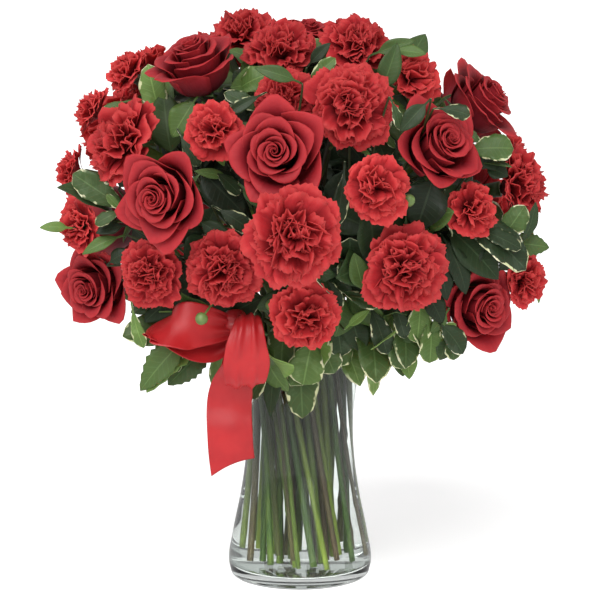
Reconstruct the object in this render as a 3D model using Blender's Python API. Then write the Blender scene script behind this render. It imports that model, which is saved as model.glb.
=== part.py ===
"""Red roses and carnations in a waisted glass vase, with a satin bow.

Metres, +Z up. The origin is the centre of the vase's foot, and -Y is the bouquet's front.
"""

import math

import bmesh
import bpy
import numpy as np
from mathutils import Matrix, Vector

MM = 0.001
GAP = 0.3 * MM  # clearance between pieces that rest on each other

# Vase: outer radius at each height, from the foot to the rim.
VASE_HEIGHT = 203 * MM
VASE_WALL = 3.2 * MM
VASE_FLOOR = 9 * MM
VASE_SIDES = 28
VASE_OUTLINE = (  # height, radius in mm
    (0.0, 55.0),
    (3.0, 59.0),
    (10.0, 60.0),
    (36.0, 56.5),
    (68.0, 50.0),
    (100.0, 45.5),
    (128.0, 44.3),
    (160.0, 47.3),
    (203.0, 56.0),
)
WATER_LEVEL = 185 * MM

# Stems: the levels where each one is held, and the room that it has there.
FOOT_LEVEL = 11.5 * MM
BIND_LEVEL = 207 * MM  # just above the rim, where each bunch's stems press together
STEM_CLEARANCE = 1.1 * MM  # kept between stems in the water
FOOT_ROOM = 47 * MM
BIND_ROOM = 37 * MM
STEM_STEPS = 4  # points along a stem's curve above the rim
FOOT_TWIST = math.radians(48)  # the stems stand spirally, so their feet turn round the vase
HEART = np.array((0.0, 0.0, 200 * MM))  # the point that the stems fan out from
WIDEST_LEAN = math.radians(84)

STEM_RADIUS = {"rose": 2.7 * MM, "carnation": 2.2 * MM, "mini": 1.3 * MM, "spray": 2.1 * MM}
CALYX_RADIUS = {"rose": 6.2 * MM, "carnation": 6.4 * MM, "mini": 4.4 * MM}
CALYX_LENGTH = {"rose": 13 * MM, "carnation": 24 * MM, "mini": 17 * MM}
# How much of a bloom lies below its middle, as a share of its radius.
HEAD_BELOW = {"rose": 0.55, "carnation": 0.46, "mini": 0.48}

# Dome of blooms: centre and half axes.
DOME_CENTRE = np.array((-2 * MM, 0.0, 318 * MM))
DOME_AXES = np.array((186 * MM, 172 * MM, 140 * MM))

# Each bloom: name, middle in mm (x right, y away, z up), width in mm, and the azimuth (0 to the front,
# positive to the right) and elevation in degrees that it faces.
BUNCHES = {
    "front": (
        ("rose_front", (-16, -172, 366), 84, -8, 12),
        ("carnation_front", (-6, -205, 309), 78, 0, 0),
        ("mini_front_low", (5, -141, 238), 58, 5, -12),
        ("mini_front_right", (58, -163, 340), 56, 15, 5),
        ("carnation_upper_front", (-12, -116, 407), 50, -5, 32),
    ),
    "front_left": (
        ("rose_left", (-101, -153, 332), 82, -25, 2),
        ("carnation_left_front", (-58, -147, 276), 64, -12, -8),
        ("carnation_left_low", (-116, -121, 270), 56, -25, -8),
        ("mini_upper_left", (-66, -138, 382), 48, -18, 20),
    ),
    "left": (
        ("rose_left_low", (-165, -29, 247), 74, -34, -5),
        ("carnation_left_high", (-140, -95, 371), 76, -60, 25),
        ("mini_left", (-176, -57, 299), 50, -50, -5),
        ("mini_far_left", (-184, -31, 341), 42, -85, 10),
        ("mini_left_high", (-170, -7, 389), 42, -80, 30),
    ),
    "top_left": (
        ("rose_top_left", (-80, -90, 427), 80, -42, 64),
        ("carnation_top_left", (-47, 12, 452), 62, -20, 62),
        ("carnation_top_front", (-15, -72, 441), 62, -5, 50),
        ("mini_top_left", (-140, -11, 422), 44, -60, 40),
    ),
    "top_right": (
        ("rose_top", (6, -20, 444), 62, 10, 70),
        ("carnation_high_right", (38, -140, 401), 71, 12, 20),
        ("carnation_top_right", (45, -58, 445), 61, 18, 48),
        ("mini_high_right", (88, -83, 421), 52, 35, 35),
    ),
    "front_right": (
        ("carnation_right_front", (81, -145, 276), 73, 22, -5),
        ("rose_right", (105, -121, 367), 80, 32, 28),
        ("mini_right_front", (135, -106, 318), 48, 35, 5),
    ),
    "right": (
        ("rose_right_low", (140, -68, 238), 80, 36, 0),
        ("carnation_right", (176, -47, 331), 70, 72, 10),
        ("rose_right_high", (143, -49, 396), 74, 65, 38),
        ("mini_right_low", (182, -46, 254), 47, 42, -4),
        ("mini_far_right", (177, 29, 347), 50, 98, 12),
    ),
    "back_right": (
        ("rose_back_right", (89, 146, 347), 90, 150, 14),
        ("carnation_back_right", (154, 90, 299), 86, 122, -6),
        ("rose_side_right", (138, 60, 380), 80, 112, 36),
        ("mini_back_right", (76, 115, 404), 54, 148, 42),
    ),
    "back": (
        ("carnation_back", (-1, 176, 305), 95, 180, -4),
        ("carnation_back_high", (4, 156, 377), 84, 178, 28),
        ("rose_back_top", (-2, 99, 430), 86, 180, 58),
    ),
    "back_left": (
        ("rose_back_left", (-85, 143, 367), 90, -152, 22),
        ("carnation_side_left", (-154, 75, 370), 88, -118, 24),
        ("carnation_back_low", (-90, 142, 275), 79, -150, -14),
        ("rose_side_left", (-163, 79, 289), 88, -118, -8),
        ("carnation_back_top", (-76, 81, 426), 75, -140, 54),
        ("mini_side_left", (-158, 30, 244), 52, -98, -26),
        ("mini_back_high", (-124, 22, 423), 52, -100, 48),
    ),
}

# Foliage.
GOLDEN_ANGLE = math.radians(137.508)
LEAF_SITES = 150  # places tried over the dome, of which those between blooms get a leaf
MOST_LEAVES = 56
LEAF_REACH = 0.93  # a leaf's tip, as a share of the dome's half axes
LEAF_THICKNESS = 0.9 * MM
LEAF_MARGIN = 1.6 * MM  # clearance that a leaf keeps from blooms and other stems
FOLIAGE_STEM_RADIUS = 1.9 * MM

# Sprigs of leaves without a flower: the end of the stem (mm) and its direction there.
SPRIGS = {
    "front_left": ((-82, -70, 216), (-0.8, -0.6, -0.35)),
    "front_right": ((108, -72, 238), (0.85, -0.5, -0.1)),
}

RED_ROSE = (0.42, 0.012, 0.018)
RED_CARNATION = (0.62, 0.022, 0.024)
GREEN = (0.075, 0.16, 0.035)
SATIN = (0.60, 0.018, 0.02)


def clear_scene():
    for obj in list(bpy.data.objects):
        bpy.data.objects.remove(obj)


def material(name, colour, roughness, transmission=0.0):
    made = bpy.data.materials.new(name)
    made.use_nodes = True
    shader = made.node_tree.nodes["Principled BSDF"]
    shader.inputs["Base Color"].default_value = (*colour, 1.0)
    shader.inputs["Roughness"].default_value = roughness
    shader.inputs["Metallic"].default_value = 0.0
    shader.inputs["Transmission Weight"].default_value = transmission
    return made


def facing(azimuth, elevation):
    """Unit vector for an azimuth from the front and an elevation, in degrees."""
    a, e = math.radians(azimuth), math.radians(elevation)
    return np.array((math.sin(a) * math.cos(e), -math.cos(a) * math.cos(e), math.sin(e)))


def unit(v):
    return v / max(np.linalg.norm(v), 1e-12)


class Bloom:
    """One flower head: where its middle is, which way it faces, and its size."""

    def __init__(self, bunch, name, middle, across, azimuth, elevation):
        self.bunch = bunch
        self.name = name
        self.kind = name.split("_")[0]
        self.middle = np.array(middle, float) * MM
        self.radius = across * MM / 2
        self.face = facing(azimuth, elevation)
        self.base = self.middle - self.face * self.radius * HEAD_BELOW[self.kind]
        self.neck = self.base - self.face * CALYX_LENGTH[self.kind]


BLOOMS = [Bloom(bunch, *row) for bunch, rows in BUNCHES.items() for row in rows]


# The routes of the stems.


class Stem:
    """A stem that stands in the vase, up to the point and direction in which it ends."""

    def __init__(self, bunch, kind, end, direction, bloom=None):
        self.bunch = bunch
        self.kind = kind
        self.end = np.array(end)
        self.direction = direction
        self.bloom = bloom
        self.radius = STEM_RADIUS.get(kind, FOLIAGE_STEM_RADIUS)
        aim = (bloom.middle if bloom else self.end) - HEART
        lean = math.acos(aim[2] / np.linalg.norm(aim)) / WIDEST_LEAN
        self.seat = unit(aim[:2]) * min(lean, 1.0)


def spread(places, gaps, room, rounds=200):
    """Moves points in a disc apart until each pair keeps its gap, as stems push each other aside."""
    places = np.array(places, float)
    for _ in range(rounds):
        for i in range(len(places)):
            apart = places[i] - places
            distance = np.linalg.norm(apart, axis=1)
            short = (gaps[i] + gaps) / 2 - distance
            short[i] = 0
            near = short > 0
            if near.any():
                push = (apart[near] / (distance[near, None] + 1e-9)) * short[near, None]
                places[i] += 0.3 * push.sum(0)
            reach = np.linalg.norm(places[i])
            if reach > room:
                places[i] *= room / reach
    return places


def turned(places, angle):
    c, s = math.cos(angle), math.sin(angle)
    return places @ np.array(((c, s), (-s, c)))


def route(points, start_along, end_along, count):
    """A Hermite curve from points[0] to points[1] with the given end tangents."""
    t = np.linspace(0, 1, count)[:, None]
    return (
        (2 * t**3 - 3 * t**2 + 1) * points[0]
        + (t**3 - 2 * t**2 + t) * start_along
        + (-2 * t**3 + 3 * t**2) * points[1]
        + (t**3 - t**2) * end_along
    )


def standing_stems():
    """Every stem that stands in the vase, with its foot and rim points settled."""
    stems = []
    for bunch, rows in BUNCHES.items():
        members = [b for b in BLOOMS if b.bunch == bunch]
        stems += [Stem(bunch, b.kind, b.neck, b.face, b) for b in members if b.kind != "mini"]
        minis = [b for b in members if b.kind == "mini"]
        if minis:
            mean = sum(b.neck for b in minis) / len(minis)
            fork = HEART + (mean - HEART) * 0.62
            stems.append(Stem(bunch, "spray", fork, unit(mean - HEART)))
        if bunch in SPRIGS:
            end, way = (np.array(row, float) for row in SPRIGS[bunch])
            stems.append(Stem(bunch, "sprig", end * MM, unit(way)))
    seats = np.array([s.seat for s in stems])
    widths = np.array([2 * s.radius for s in stems])
    centres = np.array([seats[[s.bunch == b for s in stems]].mean(0) for b in BUNCHES])
    centres = spread(centres * BIND_ROOM * 1.1, np.full(len(centres), 17 * MM), BIND_ROOM)
    for bunch, centre in zip(BUNCHES, centres):
        bind([s for s in stems if s.bunch == bunch], centre)
    levels = FOOT_LEVEL + 9 * MM * (0.5 + 0.5 * np.sin(2.4 * np.arange(len(stems)))) ** 2
    feet = spread(turned(seats, FOOT_TWIST) * FOOT_ROOM, widths + 2.8 * MM, FOOT_ROOM)
    for stem, foot in zip(stems, part_feet(np.column_stack((feet, levels)), stems)):
        stem.foot = foot
        rise = np.linalg.norm(stem.end - stem.rim)
        leaving = unit(unit(stem.rim - stem.foot) + np.array((0, 0, 0.25)))
        stem.upper = lambda n, s=stem, r=rise, up=leaving: route(
            (s.rim, s.end), up * r * 0.95, s.direction * r * 0.85, n
        )
    return stems


def part_feet(feet, stems):
    """Moves the feet until the straight stems pass each other without touching below the rim."""
    binds = np.array([s.rim for s in stems])
    radii = np.array([s.radius for s in stems])
    bunches = np.array([s.bunch for s in stems])
    shares = np.linspace(0, 0.98, 40)
    for _ in range(300):
        lines = feet + shares[:, None, None] * (binds - feet)
        moved = feet.copy()
        for i in range(len(stems)):
            apart = lines[:, i, None, :2] - lines[:, :, :2]
            distance = np.linalg.norm(apart, axis=2) + 1e-9
            gap = distance - radii[i] - radii - STEM_CLEARANCE
            gap[:, i] = 1
            gap[30:, bunches == bunches[i]] = 1
            nearest = gap.argmin(0)
            for j in np.flatnonzero(gap.min(0) < 0):
                k = nearest[j]
                lever = min(1 / (1 - shares[k]), 4)
                moved[i, :2] -= 0.3 * lever * gap[k, j] * apart[k, j] / distance[k, j]
            reach = np.linalg.norm(moved[i, :2])
            moved[i, :2] *= min(1, FOOT_ROOM / reach)
        feet = moved
    return feet


def bind(stems, centre):
    """Presses a bunch's stems together just above the rim, round the one nearest its middle."""
    seats = np.array([s.seat for s in stems])
    middle = seats.mean(0)
    core = int(np.linalg.norm(seats - middle, axis=1).argmin())
    others = sorted(
        (i for i in range(len(stems)) if i != core),
        key=lambda i: math.atan2(*(seats[i] - seats[core])[::-1]),
    )
    stems[core].rim = np.array((*centre, BIND_LEVEL))
    if not others:
        return
    turns = 2 * math.pi / max(len(others), 4)
    bearing = [math.atan2(*(seats[i] - seats[core])[::-1]) for i in others]
    start = math.atan2(
        sum(math.sin(b - turns * k) for k, b in enumerate(bearing)),
        sum(math.cos(b - turns * k) for k, b in enumerate(bearing)),
    )
    for k, i in enumerate(others):
        apart = 0.80 * (stems[core].radius + stems[i].radius)
        angle = start + turns * k
        place = centre + apart * np.array((math.cos(angle), math.sin(angle)))
        stems[i].rim = np.array((*place, BIND_LEVEL))


STEMS = standing_stems()


def pedicel(bloom, stems, count):
    """The thin stalk of a small carnation, from its spray's fork to its calyx."""
    spray = next(s for s in stems if s.kind == "spray" and s.bunch == bloom.bunch)
    start = spray.end - unit(spray.end - spray.upper(STEM_STEPS)[-2]) * 3 * MM
    length = np.linalg.norm(bloom.neck - start)
    leaving = unit(spray.direction + 0.4 * unit(bloom.neck - start))
    return route((start, bloom.neck), leaving * length * 0.8, bloom.face * length * 0.9, count)


# Clearance, and the places of the leaves.


HEAD_OUTLINE = (  # height along the bloom's axis and its radius there, as shares of its radius
    (-0.85, 0.22),
    (-0.55, 0.34),
    (-0.30, 0.80),
    (-0.12, 1.05),
    (0.15, 1.05),
    (0.40, 0.80),
    (0.62, 0.45),
)


def room_round_blooms(points):
    """Least distance from each point to a bloom's outline; negative is inside one."""
    heights, radii = np.array(HEAD_OUTLINE).T
    least = np.full(len(points), 1.0)
    for bloom in BLOOMS:
        away = points - bloom.middle
        along = away @ bloom.face
        across = np.linalg.norm(away - along[:, None] * bloom.face, axis=1)
        width = np.interp(along / bloom.radius, heights, radii) * bloom.radius
        past = np.maximum(along / bloom.radius - heights[-1], heights[0] - along / bloom.radius)
        free = np.where(past > 0, np.maximum(past * bloom.radius, across - width), across - width)
        least = np.minimum(least, free)
    return least


def along_line(points, steps):
    """Points spaced along a line of straight pieces."""
    fine = np.linspace(0, len(points) - 1, steps * (len(points) - 1) + 1)
    return np.stack([np.interp(fine, np.arange(len(points)), axis) for axis in points.T], 1)


def stem_samples():
    """Points along the upper part of every stem, with its radius and its bunch's number."""
    names = list(BUNCHES)
    rows = []
    for stem in STEMS:
        below = stem.rim + np.linspace(-0.4, 0, 16)[:-1, None] * (stem.rim - stem.foot)
        points = np.vstack((below, along_line(stem.upper(STEM_STEPS), 10)))
        rows.append((points, stem.radius, names.index(stem.bunch)))
        if stem.bloom is not None:
            calyx = np.linspace(stem.end, stem.bloom.base, 8)
            rows.append((calyx, CALYX_RADIUS[stem.kind], names.index(stem.bunch)))
    for bloom in BLOOMS:
        if bloom.kind == "mini":
            stalk = along_line(pedicel(bloom, STEMS, STEM_STEPS), 7)
            rows.append((stalk, STEM_RADIUS["mini"], names.index(bloom.bunch)))
            calyx = np.linspace(bloom.neck, bloom.base, 8)
            rows.append((calyx, CALYX_RADIUS["mini"], names.index(bloom.bunch)))
    return (
        np.vstack([r[0] for r in rows]),
        np.concatenate([np.full(len(r[0]), r[1]) for r in rows]),
        np.concatenate([np.full(len(r[0]), r[2]) for r in rows]),
    )


STEM_POINTS, STEM_RADII, STEM_BUNCHES = stem_samples()


class Leaf:
    """A leaf from a point in a stem to its tip. Its blade arches towards its normal."""

    STALK = 0.22  # share of its length that is stalk

    def __init__(self, root, tip, width, normal, arch, bunch, kind="plain"):
        self.root = np.array(root, float)
        self.tip = np.array(tip, float)
        self.length = np.linalg.norm(self.tip - self.root)
        self.along = unit(self.tip - self.root)
        self.normal = unit(normal - (normal @ self.along) * self.along)
        self.side = np.cross(self.along, self.normal)
        self.width = width
        self.arch = arch
        self.bunch = bunch
        self.kind = kind

    def middle_line(self, t):
        rise = self.arch * 4 * t * (1 - t) * (1.25 - 0.5 * t)
        return self.root + np.outer(t, self.along * self.length) + np.outer(rise, self.normal)

    def half_width(self, t):
        """Half the blade's width at each share of the leaf's length."""
        blade = np.clip((t - self.STALK) / (1 - self.STALK), 0, 1)
        shape = np.sin(math.pi * blade**0.8) ** 0.75
        return np.maximum(self.width / 2 * shape, np.where(blade < 0.02, 0.8 * MM, 0))

    def samples(self, rows=11, columns=5):
        t = np.linspace(0.12, 1, rows)
        middle = self.middle_line(t)
        half = self.half_width(t)
        offsets = np.linspace(-1, 1, columns)
        across = half[:, None, None] * offsets[None, :, None] * self.side
        return (middle[:, None, :] + across).reshape(-1, 3)


def stems_clear_of(points, leaf):
    """True if the points keep clear of every stem but the part of the leaf's own round its root."""
    apart = np.linalg.norm(points[:, None, :] - STEM_POINTS[None], axis=2) - STEM_RADII
    own = (STEM_BUNCHES == leaf.bunch) & (np.linalg.norm(STEM_POINTS - leaf.root, axis=1) < 9 * MM)
    margin = np.where(STEM_BUNCHES == leaf.bunch, 0.6 * MM, LEAF_MARGIN + 1.2 * MM)
    return (apart[:, ~own] > margin[~own]).all()


def vase_clear_of(points):
    """True if no point lies in the vase's wall or just above its rim."""
    reach = np.linalg.norm(points[:, :2], axis=1)
    wall = np.interp(points[:, 2], [h * MM for h, _ in VASE_OUTLINE], [r * MM for _, r in VASE_OUTLINE])
    low = points[:, 2] < VASE_HEIGHT + 1.8 * MM
    inside_wall = (reach > wall - VASE_WALL - 1.5 * MM) & (reach < wall + 1.8 * MM)
    return not (low & inside_wall).any()


def nearest_stem(point, lowest, highest):
    """The stem point nearest to a place, between two heights, and its bunch."""
    open_range = (STEM_POINTS[:, 2] > lowest) & (STEM_POINTS[:, 2] < highest) & (STEM_RADII < 3 * MM)
    index = np.flatnonzero(open_range)
    chosen = index[np.linalg.norm(STEM_POINTS[index] - point, axis=1).argmin()]
    return STEM_POINTS[chosen], int(STEM_BUNCHES[chosen])


def leaf_fits(leaf, placed, spacing=4.5 * MM):
    points = leaf.samples()
    blade = points[10:]
    if room_round_blooms(blade).min() < LEAF_MARGIN or not vase_clear_of(points):
        return False
    if not stems_clear_of(blade, leaf):
        return False
    if np.linalg.norm(points[:, None, :] - BOW_POINTS[None], axis=2).min() < 4 * MM:
        return False
    for other in placed:
        if np.linalg.norm(leaf.tip - other.tip) > leaf.length + other.length:
            continue
        near = np.linalg.norm(blade[:, None, :] - other.samples()[None, 10:], axis=2).min()
        if near < spacing:
            return False
    return True


def gap_leaves(placed, sites, reach, length, width, random, most):
    """Leaves that fill the gaps between blooms, tried site by site over the dome."""
    for number in range(sites):
        if len(placed) >= most:
            break
        height = 1 - (number + 0.5) / sites * 1.5
        around = number * GOLDEN_ANGLE
        flat = math.sqrt(max(0.0, 1 - height * height))
        out = np.array((flat * math.sin(around), -flat * math.cos(around), height))
        tip = DOME_CENTRE + out * DOME_AXES * reach
        if room_round_blooms(tip[None])[0] < 3 * MM:
            continue
        for attempt in range(12):
            lean = random.uniform(-1, 1, 3)
            size = length * random.uniform(0.8, 1.15) * (1 - 0.05 * attempt)
            start = tip - unit(out + 0.75 * lean) * size
            root, bunch = nearest_stem(start, 205 * MM, 460 * MM)
            if not 0.55 * length < np.linalg.norm(tip - root) < 1.6 * length:
                continue
            normal = unit(out + 0.6 * random.uniform(-1, 1, 3) + np.array((0, -0.25, 0.35)))
            wide = width * random.uniform(0.85, 1.15) * (1 - 0.045 * attempt)
            leaf = Leaf(root, tip, wide, normal, size * random.uniform(0.06, 0.2), bunch)
            if leaf_fits(leaf, placed):
                placed.append(leaf)
                break
    return placed


def collar_leaves(placed, random, count):
    """Leaves that come out over the vase's rim and hang down round it."""
    for number in range(count):
        around = 2 * math.pi * number / count + 0.1
        for attempt in range(14):
            turn = around + random.uniform(-0.14, 0.14)
            out = np.array((math.sin(turn), -math.cos(turn), 0.0))
            reach = random.uniform(84, 108) * MM
            tip = out * reach + np.array((0, 0, random.uniform(166, 200) * MM))
            root, bunch = nearest_stem(out * 42 * MM + np.array((0, 0, 214 * MM)), 206 * MM, 232 * MM)
            normal = unit(out * 0.7 + np.array((0, 0, 0.7)) + 0.25 * random.uniform(-1, 1, 3))
            arch = random.uniform(13, 20) * MM
            leaf = Leaf(root, tip, random.uniform(21, 28) * MM, normal, arch, bunch, "edged")
            if leaf_fits(leaf, placed):
                placed.append(leaf)
                break
    return placed


def named_leaves(random):
    """The leaves that stand out, each nudged until it clears everything round it."""
    placed = []
    for tip, near, width, arch, azimuth, elevation, kind in NAMED_LEAVES:
        for attempt in range(60):
            nudge = random.uniform(-1, 1, 3) * min(attempt, 30) * 0.4
            root, bunch = nearest_stem((np.array(near) + 2 * nudge) * MM, 206 * MM, 450 * MM)
            more = 1 + 0.03 * attempt
            less = max(1 - 0.008 * attempt, 0.7)
            place = (np.array(tip) + nudge) * MM
            normal = facing(azimuth, elevation)
            leaf = Leaf(root, place, width * less * MM, normal, arch * more * MM, bunch, kind)
            if leaf.length < 92 * MM and leaf_fits(leaf, placed, 3 * MM):
                placed.append(leaf)
                break
    return placed


def all_leaves():
    random = np.random.default_rng(7)
    placed = named_leaves(random)
    placed = collar_leaves(placed, random, 16)
    return gap_leaves(placed, LEAF_SITES, LEAF_REACH, 62 * MM, 34 * MM, random, MOST_LEAVES)


# Leaves that stand out among the others: tip, place near its stem, width, arch (mm),
# azimuth and elevation faced, kind.
NAMED_LEAVES = (
    ((2, -79, 149), (5, -40, 214), 28, 20, 0, 15, "edged"),
    ((-27, -78, 150), (-9, -38, 214), 25, 20, -18, 15, "plain"),
    ((-6, -96, 181), (33, -58, 222), 27, 10, 8, 25, "edged"),
    ((61, -102, 184), (38, -55, 224), 31, 12, 20, 15, "edged"),
    ((86, -106, 199), (64, -62, 232), 26, 9, 30, 20, "edged"),
    ((106, -98, 212), (80, -58, 240), 25, 9, 40, 25, "edged"),
    ((133, -96, 224), (96, -56, 244), 27, 8, 40, 15, "edged"),
    ((-121, -104, 179), (-66, -56, 214), 33, 12, -25, 20, "serrated"),
    ((-99, -96, 184), (-56, -50, 214), 25, 10, -30, 20, "serrated"),
    ((-140, -88, 216), (-82, -66, 220), 26, 8, -35, 30, "edged"),
    ((-126, -92, 414), (-88, -60, 372), 34, 7, -20, 30, "edged"),
    ((-76, -96, 398), (-62, -52, 366), 26, 6, -25, 30, "plain"),
    ((-186, -78, 336), (-138, -52, 316), 26, 8, -35, 35, "plain"),
    ((178, -96, 274), (124, -72, 290), 34, 9, 30, 25, "edged"),
    ((180, -100, 308), (128, -78, 298), 25, 9, 40, 30, "edged"),
    ((100, -36, 453), (72, -40, 414), 24, 6, 10, 45, "plain"),
    ((172, -98, 364), (130, -66, 346), 25, 8, 35, 30, "plain"),
)

# Round green buds on thin stalks: middle, place near its stem (mm).
BUDS = (
    ((-75, -146, 239), (-64, -96, 251)),
    ((-22, -128, 247), (-14, -84, 252)),
    ((82, -150, 330), (60, -108, 306)),
    ((26, -166, 292), (16, -120, 288)),
)
BUD_RADIUS = 4.9 * MM
BUD_STALK_RADIUS = 1.0 * MM

# The bow: a satin ribbon tied in a knot on a florist's pick, at the front left of the vase's mouth.
RIBBON_THICKNESS = 0.8 * MM
KNOT = (-51, -101, 229)
KNOT_SIZE = (11, 9, 11)
# Each band runs through its places (mm), with its width there and the direction across it.
BANDS = (
    (
        ((-48, -102, 225), 13, (0, 0.1, 1)),
        ((-65, -114, 228), 27, (0, 0.1, 1)),
        ((-84, -122, 230), 37, (0, 0.15, 1)),
        ((-100, -123, 228), 37, (0, 0.78, 0.62)),
        ((-112, -118, 226), 35, (0, 0.97, 0.24)),
        ((-120, -118, 223), 33, (0, 1, -0.1)),
        ((-112, -118.5, 220), 32, (0, 1, 0)),
        ((-100, -115, 217), 33, (0, 0.92, 0.38)),
        ((-82, -108, 213), 34, (0, 0.7, 0.7)),
        ((-66, -102, 214), 29, (0, 0.4, 0.9)),
        ((-48, -99, 222), 12, (0, 0, 1)),
    ),
    (
        ((-47, -104, 227), 12, (1, 0, 0)),
        ((-42, -115, 235), 16, (1, 0, 0.05)),
        ((-40, -126, 236), 19, (1, 0.05, 0.05)),
        ((-40, -133, 228), 25, (1, 0.1, 0.1)),
        ((-41, -136, 215), 32, (1, 0.1, 0.05)),
        ((-41, -136, 203), 36, (1, 0.1, 0.05)),
        ((-42, -132, 191), 33, (1, 0.05, 0.05)),
        ((-43, -126, 185.5), 30, (1, 0, 0.05)),
        ((-44, -119, 188), 29, (1, 0, 0)),
        ((-47, -110, 202), 25, (1, 0, 0)),
        ((-50, -104, 222), 14, (1, 0, 0)),
    ),
    (
        ((-51, -100, 224), 14, (1, 0, 0)),
        ((-50, -99, 208), 19, (1, 0, -0.05)),
        ((-50, -99, 193), 25, (1, 0.1, -0.1)),
        ((-54, -102, 176), 34, (1, 0.15, -0.1)),
        ((-55.5, -105, 158), 36, (1, 0.2, -0.05)),
        ((-55, -107, 136), 36, (1, 0.2, 0)),
        ((-52, -108, 110), 36, (1, 0.2, 0.5)),
    ),
)
PICK = ((-50.5, -91.2, 228), (0, -13, 194))  # its top behind the knot, its point among the stems
PICK_RADIUS = 1.5 * MM


def band_points():
    """Points all over the ribbon, the knot and the pick, which the leaves keep clear of."""
    rows = [np.linspace(PICK[0], PICK[1], 30) * MM, np.array(KNOT)[None] * MM]
    for band in BANDS:
        places = np.array([b[0] for b in band], float)
        widths = np.array([b[1] for b in band], float)
        across = np.array([unit(np.array(b[2], float)) for b in band])
        fine = np.linspace(0, len(band) - 1, 5 * len(band))
        for share in (-1, -0.5, 0, 0.5, 1):
            edge = places + share * widths[:, None] / 2 * across
            rows.append(np.stack([np.interp(fine, np.arange(len(band)), e) for e in edge.T], 1) * MM)
    return np.vstack(rows)


BOW_POINTS = band_points()


# Solids.


def skin(name, rings, start, end, look, diagonals=None):
    """A closed skin of triangles through rings of points, each end closed round its own point.

    The rings run anticlockwise as seen from the end; diagonals says per column how its
    quads are split."""
    count = len(rings[0])
    points = [p for ring in rings for p in ring] + [start, end]
    first, last = len(points) - 2, len(points) - 1
    split = diagonals or (0,) * count
    faces = []
    for i in range(count):
        j = (i + 1) % count
        faces.append((first, j, i))
        for k in range(len(rings) - 1):
            a, b = k * count, (k + 1) * count
            if split[i]:
                faces += [(a + i, a + j, b + i), (a + j, b + j, b + i)]
            else:
                faces += [(a + i, a + j, b + j), (a + i, b + j, b + i)]
        top = (len(rings) - 1) * count
        faces.append((top + i, top + j, last))
    mesh = bpy.data.meshes.new(name)
    mesh.from_pydata([tuple(map(float, p)) for p in points], [], faces)
    mesh.update()
    mesh.validate()
    made = bpy.data.objects.new(name, mesh)
    bpy.context.scene.collection.objects.link(made)
    mesh.materials.append(look)
    return made


def smooth(obj, angle=50):
    obj.data.shade_smooth()
    obj.data.set_sharp_from_angle(angle=math.radians(angle))
    return obj


def frames(points):
    """Direction and two square directions at each point of a line, carried along without twist."""
    along = np.gradient(points, axis=0)
    along /= np.linalg.norm(along, axis=1)[:, None]
    first = np.cross(along[0], (0.31, 0.95, 0.05))
    sides = [unit(first)]
    for d in along[1:]:
        sides.append(unit(sides[-1] - (sides[-1] @ d) * d))
    sides = np.array(sides)
    return along, sides, np.cross(along, sides)


def tube(name, points, radii, sides, look):
    points = np.array(points, float)
    along, right, up = frames(points)
    angles = np.arange(sides) * 2 * math.pi / sides
    rings = [
        [p + r * (math.cos(a) * x + math.sin(a) * y) for a in angles]
        for p, r, x, y in zip(points, radii, right, up)
    ]
    return skin(name, rings, points[0], points[-1], look)


def joined(name, pieces, look, taken_from=None):
    """One solid from many pieces; taken_from is cut by them instead of joined to them."""
    group = bpy.data.collections.new(name + "_pieces")
    for piece in pieces:
        bpy.context.scene.collection.objects.unlink(piece)
        group.objects.link(piece)
    base = taken_from or pieces[0]
    if taken_from is None:
        group.objects.unlink(base)
        bpy.context.scene.collection.objects.link(base)
    cut = base.modifiers.new("join", "BOOLEAN")
    cut.operation = "DIFFERENCE" if taken_from else "UNION"
    cut.operand_type = "COLLECTION"
    cut.collection = group
    cut.solver = "MANIFOLD"
    shape = base.evaluated_get(bpy.context.evaluated_depsgraph_get())
    mesh = bpy.data.meshes.new_from_object(shape)
    made = bpy.data.objects.new(name, mesh)
    bpy.context.scene.collection.objects.link(made)
    mesh.materials.clear()
    mesh.materials.append(look)
    for piece in [*group.objects, base]:
        bpy.data.objects.remove(piece)
    bpy.data.collections.remove(group)
    return made


# Blooms. A ring is (height, columns that its pattern is shifted, radius per step of the pattern, lift
# per step); radii and heights are shares of the bloom's radius. A rose has petals of three columns.
ROSE_RINGS = (
    (-0.55, 0, (0.13,), (0.0,)),
    (-0.22, 0, (0.74, 0.62, 0.62), (0.0,)),
    (0.05, 0, (1.0, 0.84, 0.76), (-0.12, 0.0, 0.04)),
    (-0.05, 0, (0.62, 0.60, 0.58), (0.0,)),
    (0.33, 1, (0.76, 0.68, 0.64), (-0.02, 0.03, 0.0)),
    (0.08, 1, (0.47, 0.45, 0.43), (0.0,)),
    (0.50, 2, (0.52, 0.45, 0.40), (0.0, 0.03, 0.0)),
)
ROSE_POLE = 0.26
CARNATION_RINGS = (
    (-0.46, 0, (0.16,), (0.0,)),
    (-0.30, 0, (0.55, 0.50), (0.0,)),
    (-0.08, 0, (1.0, 0.84), (-0.06, 0.06)),
    (0.04, 0, (0.62, 0.56), (0.0,)),
    (0.28, 1, (0.84, 0.66), (-0.06, 0.06)),
    (0.22, 1, (0.42, 0.38), (0.0,)),
    (0.50, 0, (0.54, 0.40), (0.0, -0.07)),
)
CARNATION_POLE = 0.30
MINI_RINGS = (
    (-0.48, 0, (0.16,), (0.0,)),
    (-0.05, 0, (1.0, 0.80), (-0.06, 0.08)),
    (0.10, 0, (0.56, 0.50), (0.0,)),
    (0.38, 1, (0.70, 0.48), (0.0, 0.05)),
)
MINI_POLE = 0.16
HEADS = {
    "rose": (ROSE_RINGS, ROSE_POLE, 15),
    "carnation": (CARNATION_RINGS, CARNATION_POLE, 12),
    "mini": (MINI_RINGS, MINI_POLE, 10),
}
FULLNESS = 1.05  # the longest petals reach a little past the bloom's measured radius
ROUGH = {"rose": 0.035, "carnation": 0.07, "mini": 0.06}  # how uneven the petal edges are
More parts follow.
